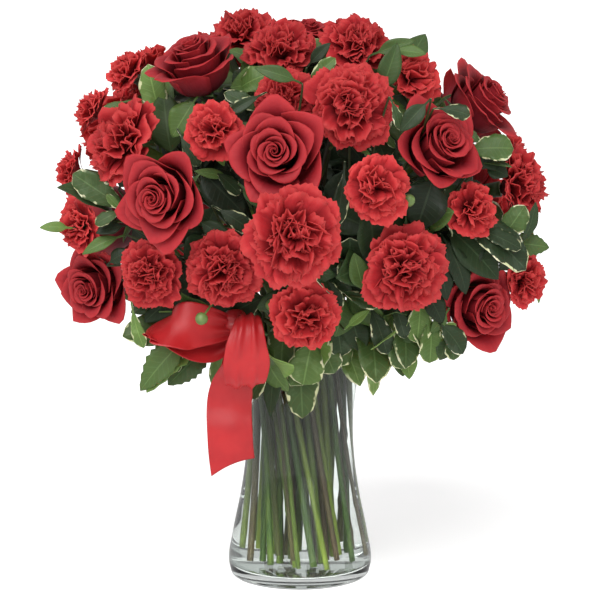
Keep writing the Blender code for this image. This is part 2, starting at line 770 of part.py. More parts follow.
FIN = 0.07  # least depth of a valley between petals, as a share of the bloom's radius


def bloom_rings(bloom, number):
    """Radius, height and way out from the bloom's axis of each point of its rings."""
    rows, _, columns = HEADS[bloom.kind]
    random = np.random.default_rng(100 + number)
    right = unit(np.cross(bloom.face, (0.02, 0.05, 1.0)))
    up = np.cross(bloom.face, right)
    angles = random.uniform(0, 2 * math.pi) + np.arange(columns) * 2 * math.pi / columns
    out = np.cos(angles)[:, None] * right + np.sin(angles)[:, None] * up
    radii = np.zeros((len(rows), columns))
    heights = np.zeros((len(rows), columns))
    for row, (height, shift, pattern, lifts) in enumerate(rows):
        for i in range(columns):
            uneven = random.uniform(-1, 1, 2) * ROUGH[bloom.kind] * (row > 0)
            step = i + shift
            radii[row, i] = pattern[step % len(pattern)] * (1 + uneven[0]) * FULLNESS
            heights[row, i] = height + lifts[step % len(lifts)] + 0.5 * uneven[1]
    return radii * bloom.radius, heights * bloom.radius + GAP, out


def ring_points(bloom, radii, heights, out):
    return bloom.middle + radii[:, :, None] * out[None] + heights[:, :, None] * bloom.face


def pressing_planes(clouds):
    """For each pair of blooms that meet, the plane between them along which they overlap least."""
    planes = []
    spiral = np.arange(160)
    height = 1 - (spiral + 0.5) / 160 * 2
    flat = np.sqrt(1 - height * height)
    ways = np.stack(
        (flat * np.cos(spiral * GOLDEN_ANGLE), flat * np.sin(spiral * GOLDEN_ANGLE), height), 1
    )
    for i in range(len(clouds)):
        for j in range(i + 1, len(clouds)):
            apart = BLOOMS[j].middle - BLOOMS[i].middle
            if np.linalg.norm(apart) > 1.1 * (BLOOMS[i].radius + BLOOMS[j].radius):
                continue
            likely = np.vstack((ways[ways @ unit(apart) > 0.35], unit(apart)))
            low = (clouds[i] @ likely.T).max(0)
            high = (clouds[j] @ likely.T).min(0)
            best = (high - low).argmax()
            if (high - low)[best] < 2 * GAP:
                level = (high + low)[best] / 2
                planes.append((i, likely[best], level - 0.6 * GAP))
                planes.append((j, -likely[best], -level - 0.6 * GAP))
    return planes


def press(bloom, number, planes, radii, heights, out):
    """The bloom's points, drawn in to its own side of the planes between it and its neighbours."""
    for owner, way, level in planes:
        if owner != number:
            continue
        axis = (bloom.middle + heights[:, :, None] * bloom.face) @ way
        lean = out @ way
        for i in np.flatnonzero(lean > 0.12):
            room = np.maximum((level - axis[:, i]) / lean[i], 0.25 * radii[:, i])
            radii[:, i] = np.minimum(radii[:, i], room)
    rings = HEADS[bloom.kind][0]
    for row in range(2, len(rings)):
        height, shift, widths, _ = rings[row]
        height_before, shift_before, widths_before, _ = rings[row - 1]
        valley = shift == shift_before and widths[0] < widths_before[0]
        if valley and height < height_before + 0.2:
            radii[row] = np.minimum(radii[row], radii[row - 1] - FIN * bloom.radius)
    points = ring_points(bloom, radii, heights, out)
    for _ in range(8):
        for owner, way, level in planes:
            if owner == number:
                points = points - np.maximum(points @ way - level, 0)[..., None] * way
    return points


def build_blooms():
    shapes = [bloom_rings(bloom, number) for number, bloom in enumerate(BLOOMS)]
    clouds = [ring_points(bloom, *shape).reshape(-1, 3) for bloom, shape in zip(BLOOMS, shapes)]
    planes = pressing_planes(clouds)
    for number, (bloom, shape) in enumerate(zip(BLOOMS, shapes)):
        rows, pole, _ = HEADS[bloom.kind]
        points = press(bloom, number, planes, *shape)
        foot = bloom.middle + (rows[0][0] * bloom.radius + GAP) * bloom.face
        top = bloom.middle + (pole * bloom.radius + GAP) * bloom.face
        red = RED_ROSE if bloom.kind == "rose" else RED_CARNATION
        look = material("petal_" + bloom.name, red, 0.62)
        smooth(skin(bloom.name, points, foot, top, look), 75)


# Greenery.


def stem_path(stem):
    """Centre points and radii of a stem, up to its flower's calyx."""
    points = [stem.foot, *stem.upper(STEM_STEPS)]
    radii = [stem.radius] * len(points)
    if stem.bloom is not None:
        add_calyx(stem.bloom, points, radii)
    return points, radii


def add_calyx(bloom, points, radii):
    """The swelling under a flower head; a carnation's is a long cup."""
    swell = CALYX_RADIUS[bloom.kind]
    if bloom.kind == "carnation":
        points.append(bloom.neck + (bloom.base - bloom.neck) * 0.35)
        radii.append(swell * 0.86)
    points.append(bloom.base)
    radii.append(swell)


def pedicel_path(bloom):
    points = list(pedicel(bloom, STEMS, STEM_STEPS))
    radii = [STEM_RADIUS["mini"]] * len(points)
    add_calyx(bloom, points, radii)
    return points, radii


LEAF_ROWS = (0.0, 0.24, 0.47, 0.76)  # sections along a leaf, as shares of its length


def leaf_solid(leaf, look):
    middle = leaf.middle_line(np.array(LEAF_ROWS))
    half = leaf.half_width(np.array(LEAF_ROWS))
    half[0] = half[1] = 0.8 * MM
    rise = LEAF_THICKNESS / 2 * leaf.normal
    rings = []
    for number, (point, wide) in enumerate(zip(middle, half)):
        fold = 0.22 * wide * leaf.normal
        wave = 0.12 * wide * leaf.normal * (1 if number % 2 else -1)
        left = point - wide * leaf.side + fold + wave
        right = point + wide * leaf.side + fold - wave
        thick = rise * (1.6 if number < 2 else 1.0)
        top = (left + thick, point + thick, right + thick)
        rings.append((*top, right - thick, point - thick, left - thick))
    return skin("leaf", rings, middle[0], leaf.tip, look, (1, 0, 0, 1, 0, 0))


def bud_solids(place, near, look):
    place = np.array(place) * MM
    root, bunch = nearest_stem(np.array(near) * MM, 206 * MM, 420 * MM)
    way = unit(place - root)
    along = np.linspace(root, place, 3)
    along[1] -= np.array((0, 0, 3 * MM))
    stalk = tube("bud_stalk", along, [BUD_STALK_RADIUS] * 3, 4, look)
    points = [place + share * BUD_RADIUS * way for share in (-1.0, -0.3, 0.5, 1.0)]
    widths = [share * BUD_RADIUS for share in (0.4, 1.0, 0.9, 0.3)]
    return bunch, [stalk, tube("bud", points, widths, 6, look)]


def build_greenery(leaves):
    names = list(BUNCHES)
    buds = [bud_solids(*row, None) for row in BUDS]
    for number, bunch in enumerate(names):
        look = material("green_" + bunch, GREEN, 0.55)
        pieces = []
        for stem in STEMS:
            if stem.bunch == bunch:
                pieces.append(tube("stem", *stem_path(stem), 5, look))
        for bloom in BLOOMS:
            if bloom.bunch == bunch and bloom.kind == "mini":
                pieces.append(tube("pedicel", *pedicel_path(bloom), 4, look))
        pieces += [leaf_solid(leaf, look) for leaf in leaves if leaf.bunch == number]
        pieces += [piece for owner, made in buds for piece in made if owner == number]
        smooth(joined("stems_" + bunch, pieces, look), 50)


# Vase, water and bow.


def lathe(name, outline, floor, look):
    """A closed solid turned round the upright axis; floor is its last middle height."""
    angles = np.arange(VASE_SIDES) * 2 * math.pi / VASE_SIDES
    rings = [[(r * math.cos(a), r * math.sin(a), z) for a in angles] for r, z in outline]
    start = (0, 0, outline[0][1])
    return skin(name, rings, start, (0, 0, floor), look)


def outer_radius(height):
    heights, radii = np.array(VASE_OUTLINE).T * MM
    return np.interp(height, heights, radii)


def build_vase():
    lip = 1.4 * MM
    outline = [(r * MM, z * MM) for z, r in VASE_OUTLINE[:-1]]
    outline += [(outer_radius(VASE_HEIGHT - lip), VASE_HEIGHT - lip)]
    top = outer_radius(VASE_HEIGHT)
    outline += [(top - lip / 2, VASE_HEIGHT), (top - VASE_WALL + lip / 2, VASE_HEIGHT)]
    inner = [VASE_HEIGHT - lip] + [z * MM for z, _ in VASE_OUTLINE[-2:2:-1]]
    outline += [(outer_radius(z) - VASE_WALL, z) for z in inner]
    outline += [(outer_radius(16 * MM) - VASE_WALL, 16 * MM)]
    outline += [(outer_radius(VASE_FLOOR) - 3 * VASE_WALL, VASE_FLOOR)]
    smooth(lathe("vase", outline, VASE_FLOOR, material("glass", (0.9, 0.95, 0.93), 0.03, 0.95)), 40)


def build_water():
    bottom = VASE_FLOOR + GAP
    inside = VASE_WALL + GAP
    outline = [(outer_radius(bottom) - 3 * VASE_WALL - GAP, bottom)]
    outline += [(outer_radius(16 * MM) - inside, 16 * MM + 0.5 * GAP)]
    levels = [z * MM for z, _ in VASE_OUTLINE[3:] if z * MM < WATER_LEVEL]
    outline += [(outer_radius(z) - inside, z) for z in levels]
    outline += [(outer_radius(WATER_LEVEL) - inside, WATER_LEVEL)]
    look = material("water", (0.93, 0.97, 0.95), 0.02, 1.0)
    body = lathe("water_body", outline, WATER_LEVEL, look)
    cutters = []
    for stem in STEMS:
        points, _ = stem_path(stem)
        way = unit(points[1] - points[0])
        hole = [points[0] - way * 1.3 * GAP, *points[1:3]]
        cutters.append(tube("hole", hole, [stem.radius + 1.3 * GAP] * 3, 5, look))
    smooth(joined("water", cutters, look, body), 40)


def band_solid(band, look):
    rings = []
    places = np.array([b[0] for b in band]) * MM
    along = np.gradient(places, axis=0)
    for (_, width, across), place, way in zip(band, places, along):
        wide = np.array(across, float)
        wide = unit(wide - (wide @ unit(way)) * unit(way)) * width * MM / 2
        thick = unit(np.cross(way, wide)) * RIBBON_THICKNESS / 2
        left, right = place + wide, place - wide
        rings.append((left + thick, right + thick, right - thick, left - thick))
    return skin("band", rings, places[0], places[-1], look, (0, 0, 1, 0))


def build_bow():
    look = material("satin", SATIN, 0.35)
    centre = np.array(KNOT) * MM
    size = np.array(KNOT_SIZE) * MM
    angles = np.arange(10) * 2 * math.pi / 10
    rings = []
    for share in (-0.8, 0.0, 0.8):
        wide = math.sqrt(1 - share * share)
        rings.append([centre + size * (wide * math.cos(a), wide * math.sin(a), share) for a in angles])
    ends = centre - size * (0, 0, 1), centre + size * (0, 0, 1)
    knot = skin("knot", rings, *ends, look)
    smooth(joined("bow", [knot] + [band_solid(band, look) for band in BANDS], look), 40)
    top, point = (np.array(p) * MM for p in PICK)
    length = [top, top + (point - top) * 0.93, point]
    radii = [PICK_RADIUS, PICK_RADIUS, 0.4 * MM]
    smooth(tube("pick", length, radii, 8, material("wood", (0.12, 0.2, 0.06), 0.7)), 40)


def main():
    clear_scene()
    build_blooms()
    build_greenery(all_leaves())
    build_vase()
    build_water()
    build_bow()


main()
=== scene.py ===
"""Dressed scene of red roses and carnations in a waisted glass vase, with a satin bow.

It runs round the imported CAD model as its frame. The places of blooms, stems, leaves and ribbon
repeat the CAD's own rules and named values, so every piece lies where its solid does.
"""
import math

import bpy
import numpy as np
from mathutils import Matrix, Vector


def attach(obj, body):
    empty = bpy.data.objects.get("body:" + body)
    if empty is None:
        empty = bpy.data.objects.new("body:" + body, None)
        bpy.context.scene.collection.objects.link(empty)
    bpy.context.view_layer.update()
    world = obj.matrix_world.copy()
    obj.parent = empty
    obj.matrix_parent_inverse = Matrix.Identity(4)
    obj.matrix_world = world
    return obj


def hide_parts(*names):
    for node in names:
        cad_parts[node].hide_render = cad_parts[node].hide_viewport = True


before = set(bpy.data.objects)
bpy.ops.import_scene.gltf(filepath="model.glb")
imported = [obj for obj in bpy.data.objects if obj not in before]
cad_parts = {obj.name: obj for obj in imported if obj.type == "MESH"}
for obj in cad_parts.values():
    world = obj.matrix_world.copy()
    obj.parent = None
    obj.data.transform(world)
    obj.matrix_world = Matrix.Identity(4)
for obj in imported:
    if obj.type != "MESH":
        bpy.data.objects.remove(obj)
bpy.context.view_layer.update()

MM = 0.001
GAP = 0.3 * MM  # clearance between pieces that rest on each other

# Vase: outer radius at each height, from the foot to the rim.
VASE_HEIGHT = 203 * MM
VASE_WALL = 3.2 * MM
VASE_FLOOR = 9 * MM
VASE_OUTLINE = (  # height, radius in mm
    (0.0, 55.0),
    (3.0, 59.0),
    (10.0, 60.0),
    (36.0, 56.5),
    (68.0, 50.0),
    (100.0, 45.5),
    (128.0, 44.3),
    (160.0, 47.3),
    (203.0, 56.0),
)
WATER_LEVEL = 185 * MM

# Stems: the levels where each one is held, and the room that it has there.
FOOT_LEVEL = 11.5 * MM
BIND_LEVEL = 207 * MM  # just above the rim, where each bunch's stems press together
STEM_CLEARANCE = 1.1 * MM  # kept between stems in the water
FOOT_ROOM = 47 * MM
FOOT_GAP = 2.8 * MM
FOOT_STAGGER = 9 * MM  # the cut ends lie at levels up to this much apart, over the vase's floor
BIND_ROOM = 37 * MM
BUNCH_GAP = 17 * MM  # between the middles of two bunches where they are pressed together
FORK_SHARE = 0.62  # a spray branches at this share of the way out to its small heads
STEM_STEPS = 4  # points along a stem's curve above the rim
CALYX_STEPS = 8  # points along a calyx
FOOT_TWIST = math.radians(48)  # the stems stand spirally, so their feet turn round the vase
HEART = np.array((0.0, 0.0, 200 * MM))  # the point that the stems fan out from
WIDEST_LEAN = math.radians(84)

STEM_RADIUS = {"rose": 2.7 * MM, "carnation": 2.2 * MM, "mini": 1.3 * MM, "spray": 2.1 * MM}
CALYX_RADIUS = {"rose": 6.2 * MM, "carnation": 6.4 * MM, "mini": 4.4 * MM}
CALYX_LENGTH = {"rose": 13 * MM, "carnation": 24 * MM, "mini": 17 * MM}
# How much of a bloom lies below its middle, as a share of its radius.
HEAD_BELOW = {"rose": 0.55, "carnation": 0.46, "mini": 0.48}

# Dome of blooms: centre and half axes.
DOME_CENTRE = np.array((-2 * MM, 0.0, 318 * MM))
DOME_AXES = np.array((186 * MM, 172 * MM, 140 * MM))

# Each bloom: name, middle in mm (x right, y away, z up), width in mm, and the azimuth (0 to the front,
# positive to the right) and elevation in degrees that it faces.
BUNCHES = {
    "front": (
        ("rose_front", (-16, -172, 366), 84, -8, 12),
        ("carnation_front", (-6, -205, 309), 78, 0, 0),
        ("mini_front_low", (5, -141, 238), 58, 5, -12),
        ("mini_front_right", (58, -163, 340), 56, 15, 5),
        ("carnation_upper_front", (-12, -116, 407), 50, -5, 32),
    ),
    "front_left": (
        ("rose_left", (-101, -153, 332), 82, -25, 2),
        ("carnation_left_front", (-58, -147, 276), 64, -12, -8),
        ("carnation_left_low", (-116, -121, 270), 56, -25, -8),
        ("mini_upper_left", (-66, -138, 382), 48, -18, 20),
    ),
    "left": (
        ("rose_left_low", (-165, -29, 247), 74, -34, -5),
        ("carnation_left_high", (-140, -95, 371), 76, -60, 25),
        ("mini_left", (-176, -57, 299), 50, -50, -5),
        ("mini_far_left", (-184, -31, 341), 42, -85, 10),
        ("mini_left_high", (-170, -7, 389), 42, -80, 30),
    ),
    "top_left": (
        ("rose_top_left", (-80, -90, 427), 80, -42, 64),
        ("carnation_top_left", (-47, 12, 452), 62, -20, 62),
        ("carnation_top_front", (-15, -72, 441), 62, -5, 50),
        ("mini_top_left", (-140, -11, 422), 44, -60, 40),
    ),
    "top_right": (
        ("rose_top", (6, -20, 444), 62, 10, 70),
        ("carnation_high_right", (38, -140, 401), 71, 12, 20),
        ("carnation_top_right", (45, -58, 445), 61, 18, 48),
        ("mini_high_right", (88, -83, 421), 52, 35, 35),
    ),
    "front_right": (
        ("carnation_right_front", (81, -145, 276), 73, 22, -5),
        ("rose_right", (105, -121, 367), 80, 32, 28),
        ("mini_right_front", (135, -106, 318), 48, 35, 5),
    ),
    "right": (
        ("rose_right_low", (140, -68, 238), 80, 36, 0),
        ("carnation_right", (176, -47, 331), 70, 72, 10),
        ("rose_right_high", (143, -49, 396), 74, 65, 38),
        ("mini_right_low", (182, -46, 254), 47, 42, -4),
        ("mini_far_right", (177, 29, 347), 50, 98, 12),
    ),
    "back_right": (
        ("rose_back_right", (89, 146, 347), 90, 150, 14),
        ("carnation_back_right", (154, 90, 299), 86, 122, -6),
        ("rose_side_right", (138, 60, 380), 80, 112, 36),
        ("mini_back_right", (76, 115, 404), 54, 148, 42),
    ),
    "back": (
        ("carnation_back", (-1, 176, 305), 95, 180, -4),
        ("carnation_back_high", (4, 156, 377), 84, 178, 28),
        ("rose_back_top", (-2, 99, 430), 86, 180, 58),
    ),
    "back_left": (
        ("rose_back_left", (-85, 143, 367), 90, -152, 22),
        ("carnation_side_left", (-154, 75, 370), 88, -118, 24),
        ("carnation_back_low", (-90, 142, 275), 79, -150, -14),
        ("rose_side_left", (-163, 79, 289), 88, -118, -8),
        ("carnation_back_top", (-76, 81, 426), 75, -140, 54),
        ("mini_side_left", (-158, 30, 244), 52, -98, -26),
        ("mini_back_high", (-124, 22, 423), 52, -100, 48),
    ),
}

# Foliage.
GOLDEN_ANGLE = math.radians(137.508)
LEAF_SEED = 7
LEAF_SITES = 150  # places tried over the dome, of which those between blooms get a leaf
MOST_LEAVES = 56
LEAF_REACH = 0.93  # a leaf's tip, as a share of the dome's half axes
GAP_LEAF = (62 * MM, 34 * MM)  # length and width of the leaves between blooms
# Leaves that hang over the vase's rim: how many, and the ranges of their tips' reach and height,
# their widths and how high they arch (mm). They spring from this far out, at this height.
COLLAR_LEAVES = 16
COLLAR_REACH = (84, 108)
COLLAR_TIPS = (166, 200)
COLLAR_WIDTHS = (21, 28)
COLLAR_ARCHES = (13, 20)
COLLAR_ROOT = (42, 214)
LEAF_MARGIN = 1.6 * MM  # clearance that a leaf keeps from blooms and other stems
FOLIAGE_STEM_RADIUS = 1.9 * MM

# The heights between which leaves and buds join their stems.
ANY_JOINT = (205 * MM, 460 * MM)
NAMED_JOINT = (206 * MM, 450 * MM)
COLLAR_JOINT = (206 * MM, 232 * MM)
BUD_JOINT = (206 * MM, 420 * MM)
TWIG_JOINT = (208 * MM, 430 * MM)

# Sprigs of leaves without a flower: the end of the stem (mm) and its direction there.
SPRIGS = {
    "front_left": ((-82, -70, 216), (-0.8, -0.6, -0.35)),
    "front_right": ((108, -72, 238), (0.85, -0.5, -0.1)),
}

SIDEWAYS = (0.02, 0.05, 1.0)  # a bloom's petals are counted from the direction square to this
PHASE = 6.28  # random turns and the phases of waves run from 0 to this, in radians


def facing(azimuth, elevation):
    """Unit vector for an azimuth from the front and an elevation, in degrees."""
    a, e = math.radians(azimuth), math.radians(elevation)
    return np.array((math.sin(a) * math.cos(e), -math.cos(a) * math.cos(e), math.sin(e)))


def unit(v):
    return v / max(np.linalg.norm(v), 1e-12)


def units(rows):
    return rows / np.linalg.norm(rows, axis=1)[:, None]


def between(points, places):
    """Points on a line of straight pieces, at places counted from corner to corner."""
    return np.stack([np.interp(places, np.arange(len(points)), axis) for axis in points.T], 1)


def way_round(angle, right, up):
    """The direction at an angle between two square directions."""
    return math.cos(angle) * right + math.sin(angle) * up


def dome_way(number, height):
    """A direction out of the dome: the golden angle apart for each number, height from -1 to 1."""
    around = number * GOLDEN_ANGLE
    flat = math.sqrt(max(0.0, 1 - height * height))
    return np.array((flat * math.sin(around), -flat * math.cos(around), height))


def hermite(t, start, end, start_along, end_along):
    """The smooth curve from start to end with the given slopes there, at shares t of the way."""
    return (
        (2 * t**3 - 3 * t**2 + 1) * start
        + (t**3 - 2 * t**2 + t) * start_along
        + (-2 * t**3 + 3 * t**2) * end
        + (t**3 - t**2) * end_along
    )


class Bloom:
    """One flower head: where its middle is, which way it faces, and its size."""

    def __init__(self, bunch, name, middle, across, azimuth, elevation):
        self.bunch = bunch
        self.name = name
        self.kind = name.split("_")[0]
        self.middle = np.array(middle, float) * MM
        self.radius = across * MM / 2
        self.face = facing(azimuth, elevation)
        self.right = unit(np.cross(self.face, SIDEWAYS))
        self.up = np.cross(self.face, self.right)
        self.base = self.middle - self.face * self.radius * HEAD_BELOW[self.kind]
        self.neck = self.base - self.face * CALYX_LENGTH[self.kind]


BLOOMS = [Bloom(bunch, *row) for bunch, rows in BUNCHES.items() for row in rows]
BUNCH_NAMES = list(BUNCHES)


# The routes of the stems.


class Stem:
    """A stem that stands in the vase, up to the point and direction in which it ends."""

    def __init__(self, bunch, kind, end, direction, bloom=None):
        self.bunch = bunch
        self.kind = kind
        self.end = np.array(end)
        self.direction = direction
        self.bloom = bloom
        self.radius = STEM_RADIUS.get(kind, FOLIAGE_STEM_RADIUS)
        aim = (bloom.middle if bloom else self.end) - HEART
        lean = math.acos(aim[2] / np.linalg.norm(aim)) / WIDEST_LEAN
        self.seat = unit(aim[:2]) * min(lean, 1.0)


def spread(places, gaps, room, rounds=200):
    """Moves points in a disc apart until each pair keeps its gap, as stems push each other aside."""
    places = np.array(places, float)
    for _ in range(rounds):
        for i in range(len(places)):
            apart = places[i] - places
            distance = np.linalg.norm(apart, axis=1)
            short = (gaps[i] + gaps) / 2 - distance
            short[i] = 0
            near = short > 0
            if near.any():
                push = (apart[near] / (distance[near, None] + 1e-9)) * short[near, None]
                places[i] += 0.3 * push.sum(0)
            reach = np.linalg.norm(places[i])
            if reach > room:
                places[i] *= room / reach
    return places


def turned(places, angle):
    c, s = math.cos(angle), math.sin(angle)
    return places @ np.array(((c, s), (-s, c)))


def route(points, start_along, end_along, count):
    """A curve of count points from points[0] to points[1] with the given end tangents."""
    return hermite(np.linspace(0, 1, count)[:, None], *points, start_along, end_along)


def standing_stems():
    """Every stem that stands in the vase, with its foot and rim points settled."""
    stems = []
    for bunch in BUNCHES:
        members = [b for b in BLOOMS if b.bunch == bunch]
        stems += [Stem(bunch, b.kind, b.neck, b.face, b) for b in members if b.kind != "mini"]
        minis = [b for b in members if b.kind == "mini"]
        if minis:
            mean = sum(b.neck for b in minis) / len(minis)
            fork = HEART + (mean - HEART) * FORK_SHARE
            stems.append(Stem(bunch, "spray", fork, unit(mean - HEART)))
        if bunch in SPRIGS:
            end, way = (np.array(row, float) for row in SPRIGS[bunch])
            stems.append(Stem(bunch, "sprig", end * MM, unit(way)))
    seats = np.array([s.seat for s in stems])
    widths = np.array([2 * s.radius for s in stems])
    centres = np.array([seats[[s.bunch == b for s in stems]].mean(0) for b in BUNCHES])
    centres = spread(centres * BIND_ROOM * 1.1, np.full(len(centres), BUNCH_GAP), BIND_ROOM)
    for bunch, centre in zip(BUNCHES, centres):
        bind([s for s in stems if s.bunch == bunch], centre)
    levels = FOOT_LEVEL + FOOT_STAGGER * (0.5 + 0.5 * np.sin(2.4 * np.arange(len(stems)))) ** 2
    feet = spread(turned(seats, FOOT_TWIST) * FOOT_ROOM, widths + FOOT_GAP, FOOT_ROOM)
    for stem, foot in zip(stems, part_feet(np.column_stack((feet, levels)), stems)):
        stem.foot = foot
        rise = np.linalg.norm(stem.end - stem.rim)
        leaving = unit(unit(stem.rim - stem.foot) + np.array((0, 0, 0.25)))
        stem.upper = lambda n, s=stem, r=rise, up=leaving: route(
            (s.rim, s.end), up * r * 0.95, s.direction * r * 0.85, n
        )
    return stems


def part_feet(feet, stems):
    """Moves the feet until the straight stems pass each other without touching below the rim."""
    binds = np.array([s.rim for s in stems])
    radii = np.array([s.radius for s in stems])
    bunches = np.array([s.bunch for s in stems])
    shares = np.linspace(0, 0.98, 40)
    for _ in range(300):
        lines = feet + shares[:, None, None] * (binds - feet)
        moved = feet.copy()
        for i in range(len(stems)):
            apart = lines[:, i, None, :2] - lines[:, :, :2]
            distance = np.linalg.norm(apart, axis=2) + 1e-9
            gap = distance - radii[i] - radii - STEM_CLEARANCE
            gap[:, i] = 1
            gap[30:, bunches == bunches[i]] = 1
            nearest = gap.argmin(0)
            for j in np.flatnonzero(gap.min(0) < 0):
                k = nearest[j]
                lever = min(1 / (1 - shares[k]), 4)
                moved[i, :2] -= 0.3 * lever * gap[k, j] * apart[k, j] / distance[k, j]
            reach = np.linalg.norm(moved[i, :2])
            moved[i, :2] *= min(1, FOOT_ROOM / reach)
        feet = moved
    return feet


def bind(stems, centre):
    """Presses a bunch's stems together just above the rim, round the one nearest its middle."""
    seats = np.array([s.seat for s in stems])
    core = int(np.linalg.norm(seats - seats.mean(0), axis=1).argmin())
    bearings = [math.atan2(*(seat - seats[core])[::-1]) for seat in seats]
    others = sorted((i for i in range(len(stems)) if i != core), key=lambda i: bearings[i])
    stems[core].rim = np.array((*centre, BIND_LEVEL))
    turns = 2 * math.pi / max(len(others), 4)
    shifts = [bearings[i] - turns * k for k, i in enumerate(others)]
    start = math.atan2(sum(math.sin(shift) for shift in shifts), sum(math.cos(shift) for shift in shifts))
    for k, i in enumerate(others):
        apart = 0.80 * (stems[core].radius + stems[i].radius)
        angle = start + turns * k
        place = centre + apart * np.array((math.cos(angle), math.sin(angle)))
        stems[i].rim = np.array((*place, BIND_LEVEL))


STEMS = standing_stems()


def pedicel(bloom, stems, count):
    """The thin stalk of a small carnation, from its spray's fork to its calyx."""
    spray = next(s for s in stems if s.kind == "spray" and s.bunch == bloom.bunch)
    start = spray.end - unit(spray.end - spray.upper(STEM_STEPS)[-2]) * 3 * MM
    length = np.linalg.norm(bloom.neck - start)
    leaving = unit(spray.direction + 0.4 * unit(bloom.neck - start))
    return route((start, bloom.neck), leaving * length * 0.8, bloom.face * length * 0.9, count)


# Clearance, and the places of the leaves.


HEAD_OUTLINE = (  # height along the bloom's axis and its radius there, as shares of its radius
    (-0.85, 0.22),
    (-0.55, 0.34),
    (-0.30, 0.80),
    (-0.12, 1.05),
    (0.15, 1.05),
    (0.40, 0.80),
    (0.62, 0.45),
)


def room_round_blooms(points):
    """Least distance from each point to a bloom's outline; negative is inside one."""
    heights, radii = np.array(HEAD_OUTLINE).T
    least = np.full(len(points), 1.0)
    for bloom in BLOOMS:
        away = points - bloom.middle
        along = away @ bloom.face
        across = np.linalg.norm(away - along[:, None] * bloom.face, axis=1)
        width = np.interp(along / bloom.radius, heights, radii) * bloom.radius
        past = np.maximum(along / bloom.radius - heights[-1], heights[0] - along / bloom.radius)
        free = np.where(past > 0, np.maximum(past * bloom.radius, across - width), across - width)
        least = np.minimum(least, free)
    return least


def along_line(points, steps):
    """Points spaced along a line of straight pieces."""
    return between(points, np.linspace(0, len(points) - 1, steps * (len(points) - 1) + 1))


def stem_samples():
    """Points along the upper part of every stem, with its radius and its bunch's number."""
    rows = []
    for stem in STEMS:
        below = stem.rim + np.linspace(-0.4, 0, 16)[:-1, None] * (stem.rim - stem.foot)
        rows.append((np.vstack((below, along_line(stem.upper(STEM_STEPS), 10))), stem.radius, stem.bunch))
        if stem.bloom is not None:
            calyx = np.linspace(stem.end, stem.bloom.base, CALYX_STEPS)
            rows.append((calyx, CALYX_RADIUS[stem.kind], stem.bunch))
    for bloom in BLOOMS:
        if bloom.kind == "mini":
            stalk = along_line(pedicel(bloom, STEMS, STEM_STEPS), 7)
            rows.append((stalk, STEM_RADIUS["mini"], bloom.bunch))
            calyx = np.linspace(bloom.neck, bloom.base, CALYX_STEPS)
            rows.append((calyx, CALYX_RADIUS["mini"], bloom.bunch))
    return (
        np.vstack([points for points, _, _ in rows]),
        np.concatenate([np.full(len(points), radius) for points, radius, _ in rows]),
        np.concatenate([np.full(len(points), BUNCH_NAMES.index(bunch)) for points, _, bunch in rows]),
    )


STEM_POINTS, STEM_RADII, STEM_BUNCHES = stem_samples()


class Leaf:
    """A leaf from a point in a stem to its tip. Its blade arches towards its normal."""

    STALK = 0.22  # share of its length that is stalk
    STALK_SAMPLES = 10  # the first of its sample points, which lie on the stalk

    def __init__(self, root, tip, width, normal, arch, bunch, kind="plain"):
        self.root = np.array(root, float)
        self.tip = np.array(tip, float)
        self.length = np.linalg.norm(self.tip - self.root)
        self.along = unit(self.tip - self.root)
        self.normal = unit(normal - (normal @ self.along) * self.along)
        self.side = np.cross(self.along, self.normal)
        self.width = width
        self.arch = arch
        self.bunch = bunch
        self.kind = kind

    def middle_line(self, t):
        rise = self.arch * 4 * t * (1 - t) * (1.25 - 0.5 * t)
        return self.root + np.outer(t, self.along * self.length) + np.outer(rise, self.normal)

    def half_width(self, t):
        """Half the blade's width at each share of the leaf's length."""
        blade = np.clip((t - self.STALK) / (1 - self.STALK), 0, 1)
        shape = np.sin(math.pi * blade**0.8) ** 0.75
        return np.maximum(self.width / 2 * shape, np.where(blade < 0.02, 0.8 * MM, 0))

    def samples(self, rows=11, columns=5):
        t = np.linspace(0.12, 1, rows)
        middle = self.middle_line(t)
        half = self.half_width(t)
        offsets = np.linspace(-1, 1, columns)
        across = half[:, None, None] * offsets[None, :, None] * self.side
        return (middle[:, None, :] + across).reshape(-1, 3)


def stems_clear_of(points, leaf):
    """True if the points keep clear of every stem but the part of the leaf's own round its root."""
    apart = np.linalg.norm(points[:, None, :] - STEM_POINTS[None], axis=2) - STEM_RADII
    own = (STEM_BUNCHES == leaf.bunch) & (np.linalg.norm(STEM_POINTS - leaf.root, axis=1) < 9 * MM)
    margin = np.where(STEM_BUNCHES == leaf.bunch, 0.6 * MM, LEAF_MARGIN + 1.2 * MM)
    return (apart[:, ~own] > margin[~own]).all()


def vase_clear_of(points):
    """True if no point lies in the vase's wall or just above its rim."""
    reach = np.linalg.norm(points[:, :2], axis=1)
    wall = np.interp(points[:, 2], [h * MM for h, _ in VASE_OUTLINE], [r * MM for _, r in VASE_OUTLINE])
    low = points[:, 2] < VASE_HEIGHT + 1.8 * MM
    inside_wall = (reach > wall - VASE_WALL - 1.5 * MM) & (reach < wall + 1.8 * MM)
    return not (low & inside_wall).any()


def nearest_stem(point, reach):
    """The stem point nearest to a place, between two heights, and its bunch."""
    lowest, highest = reach
    open_range = (STEM_POINTS[:, 2] > lowest) & (STEM_POINTS[:, 2] < highest) & (STEM_RADII < 3 * MM)
    index = np.flatnonzero(open_range)
    chosen = index[np.linalg.norm(STEM_POINTS[index] - point, axis=1).argmin()]
    return STEM_POINTS[chosen], int(STEM_BUNCHES[chosen])


def least_distance(points, others):
    return np.linalg.norm(points[:, None, :] - others[None], axis=2).min()


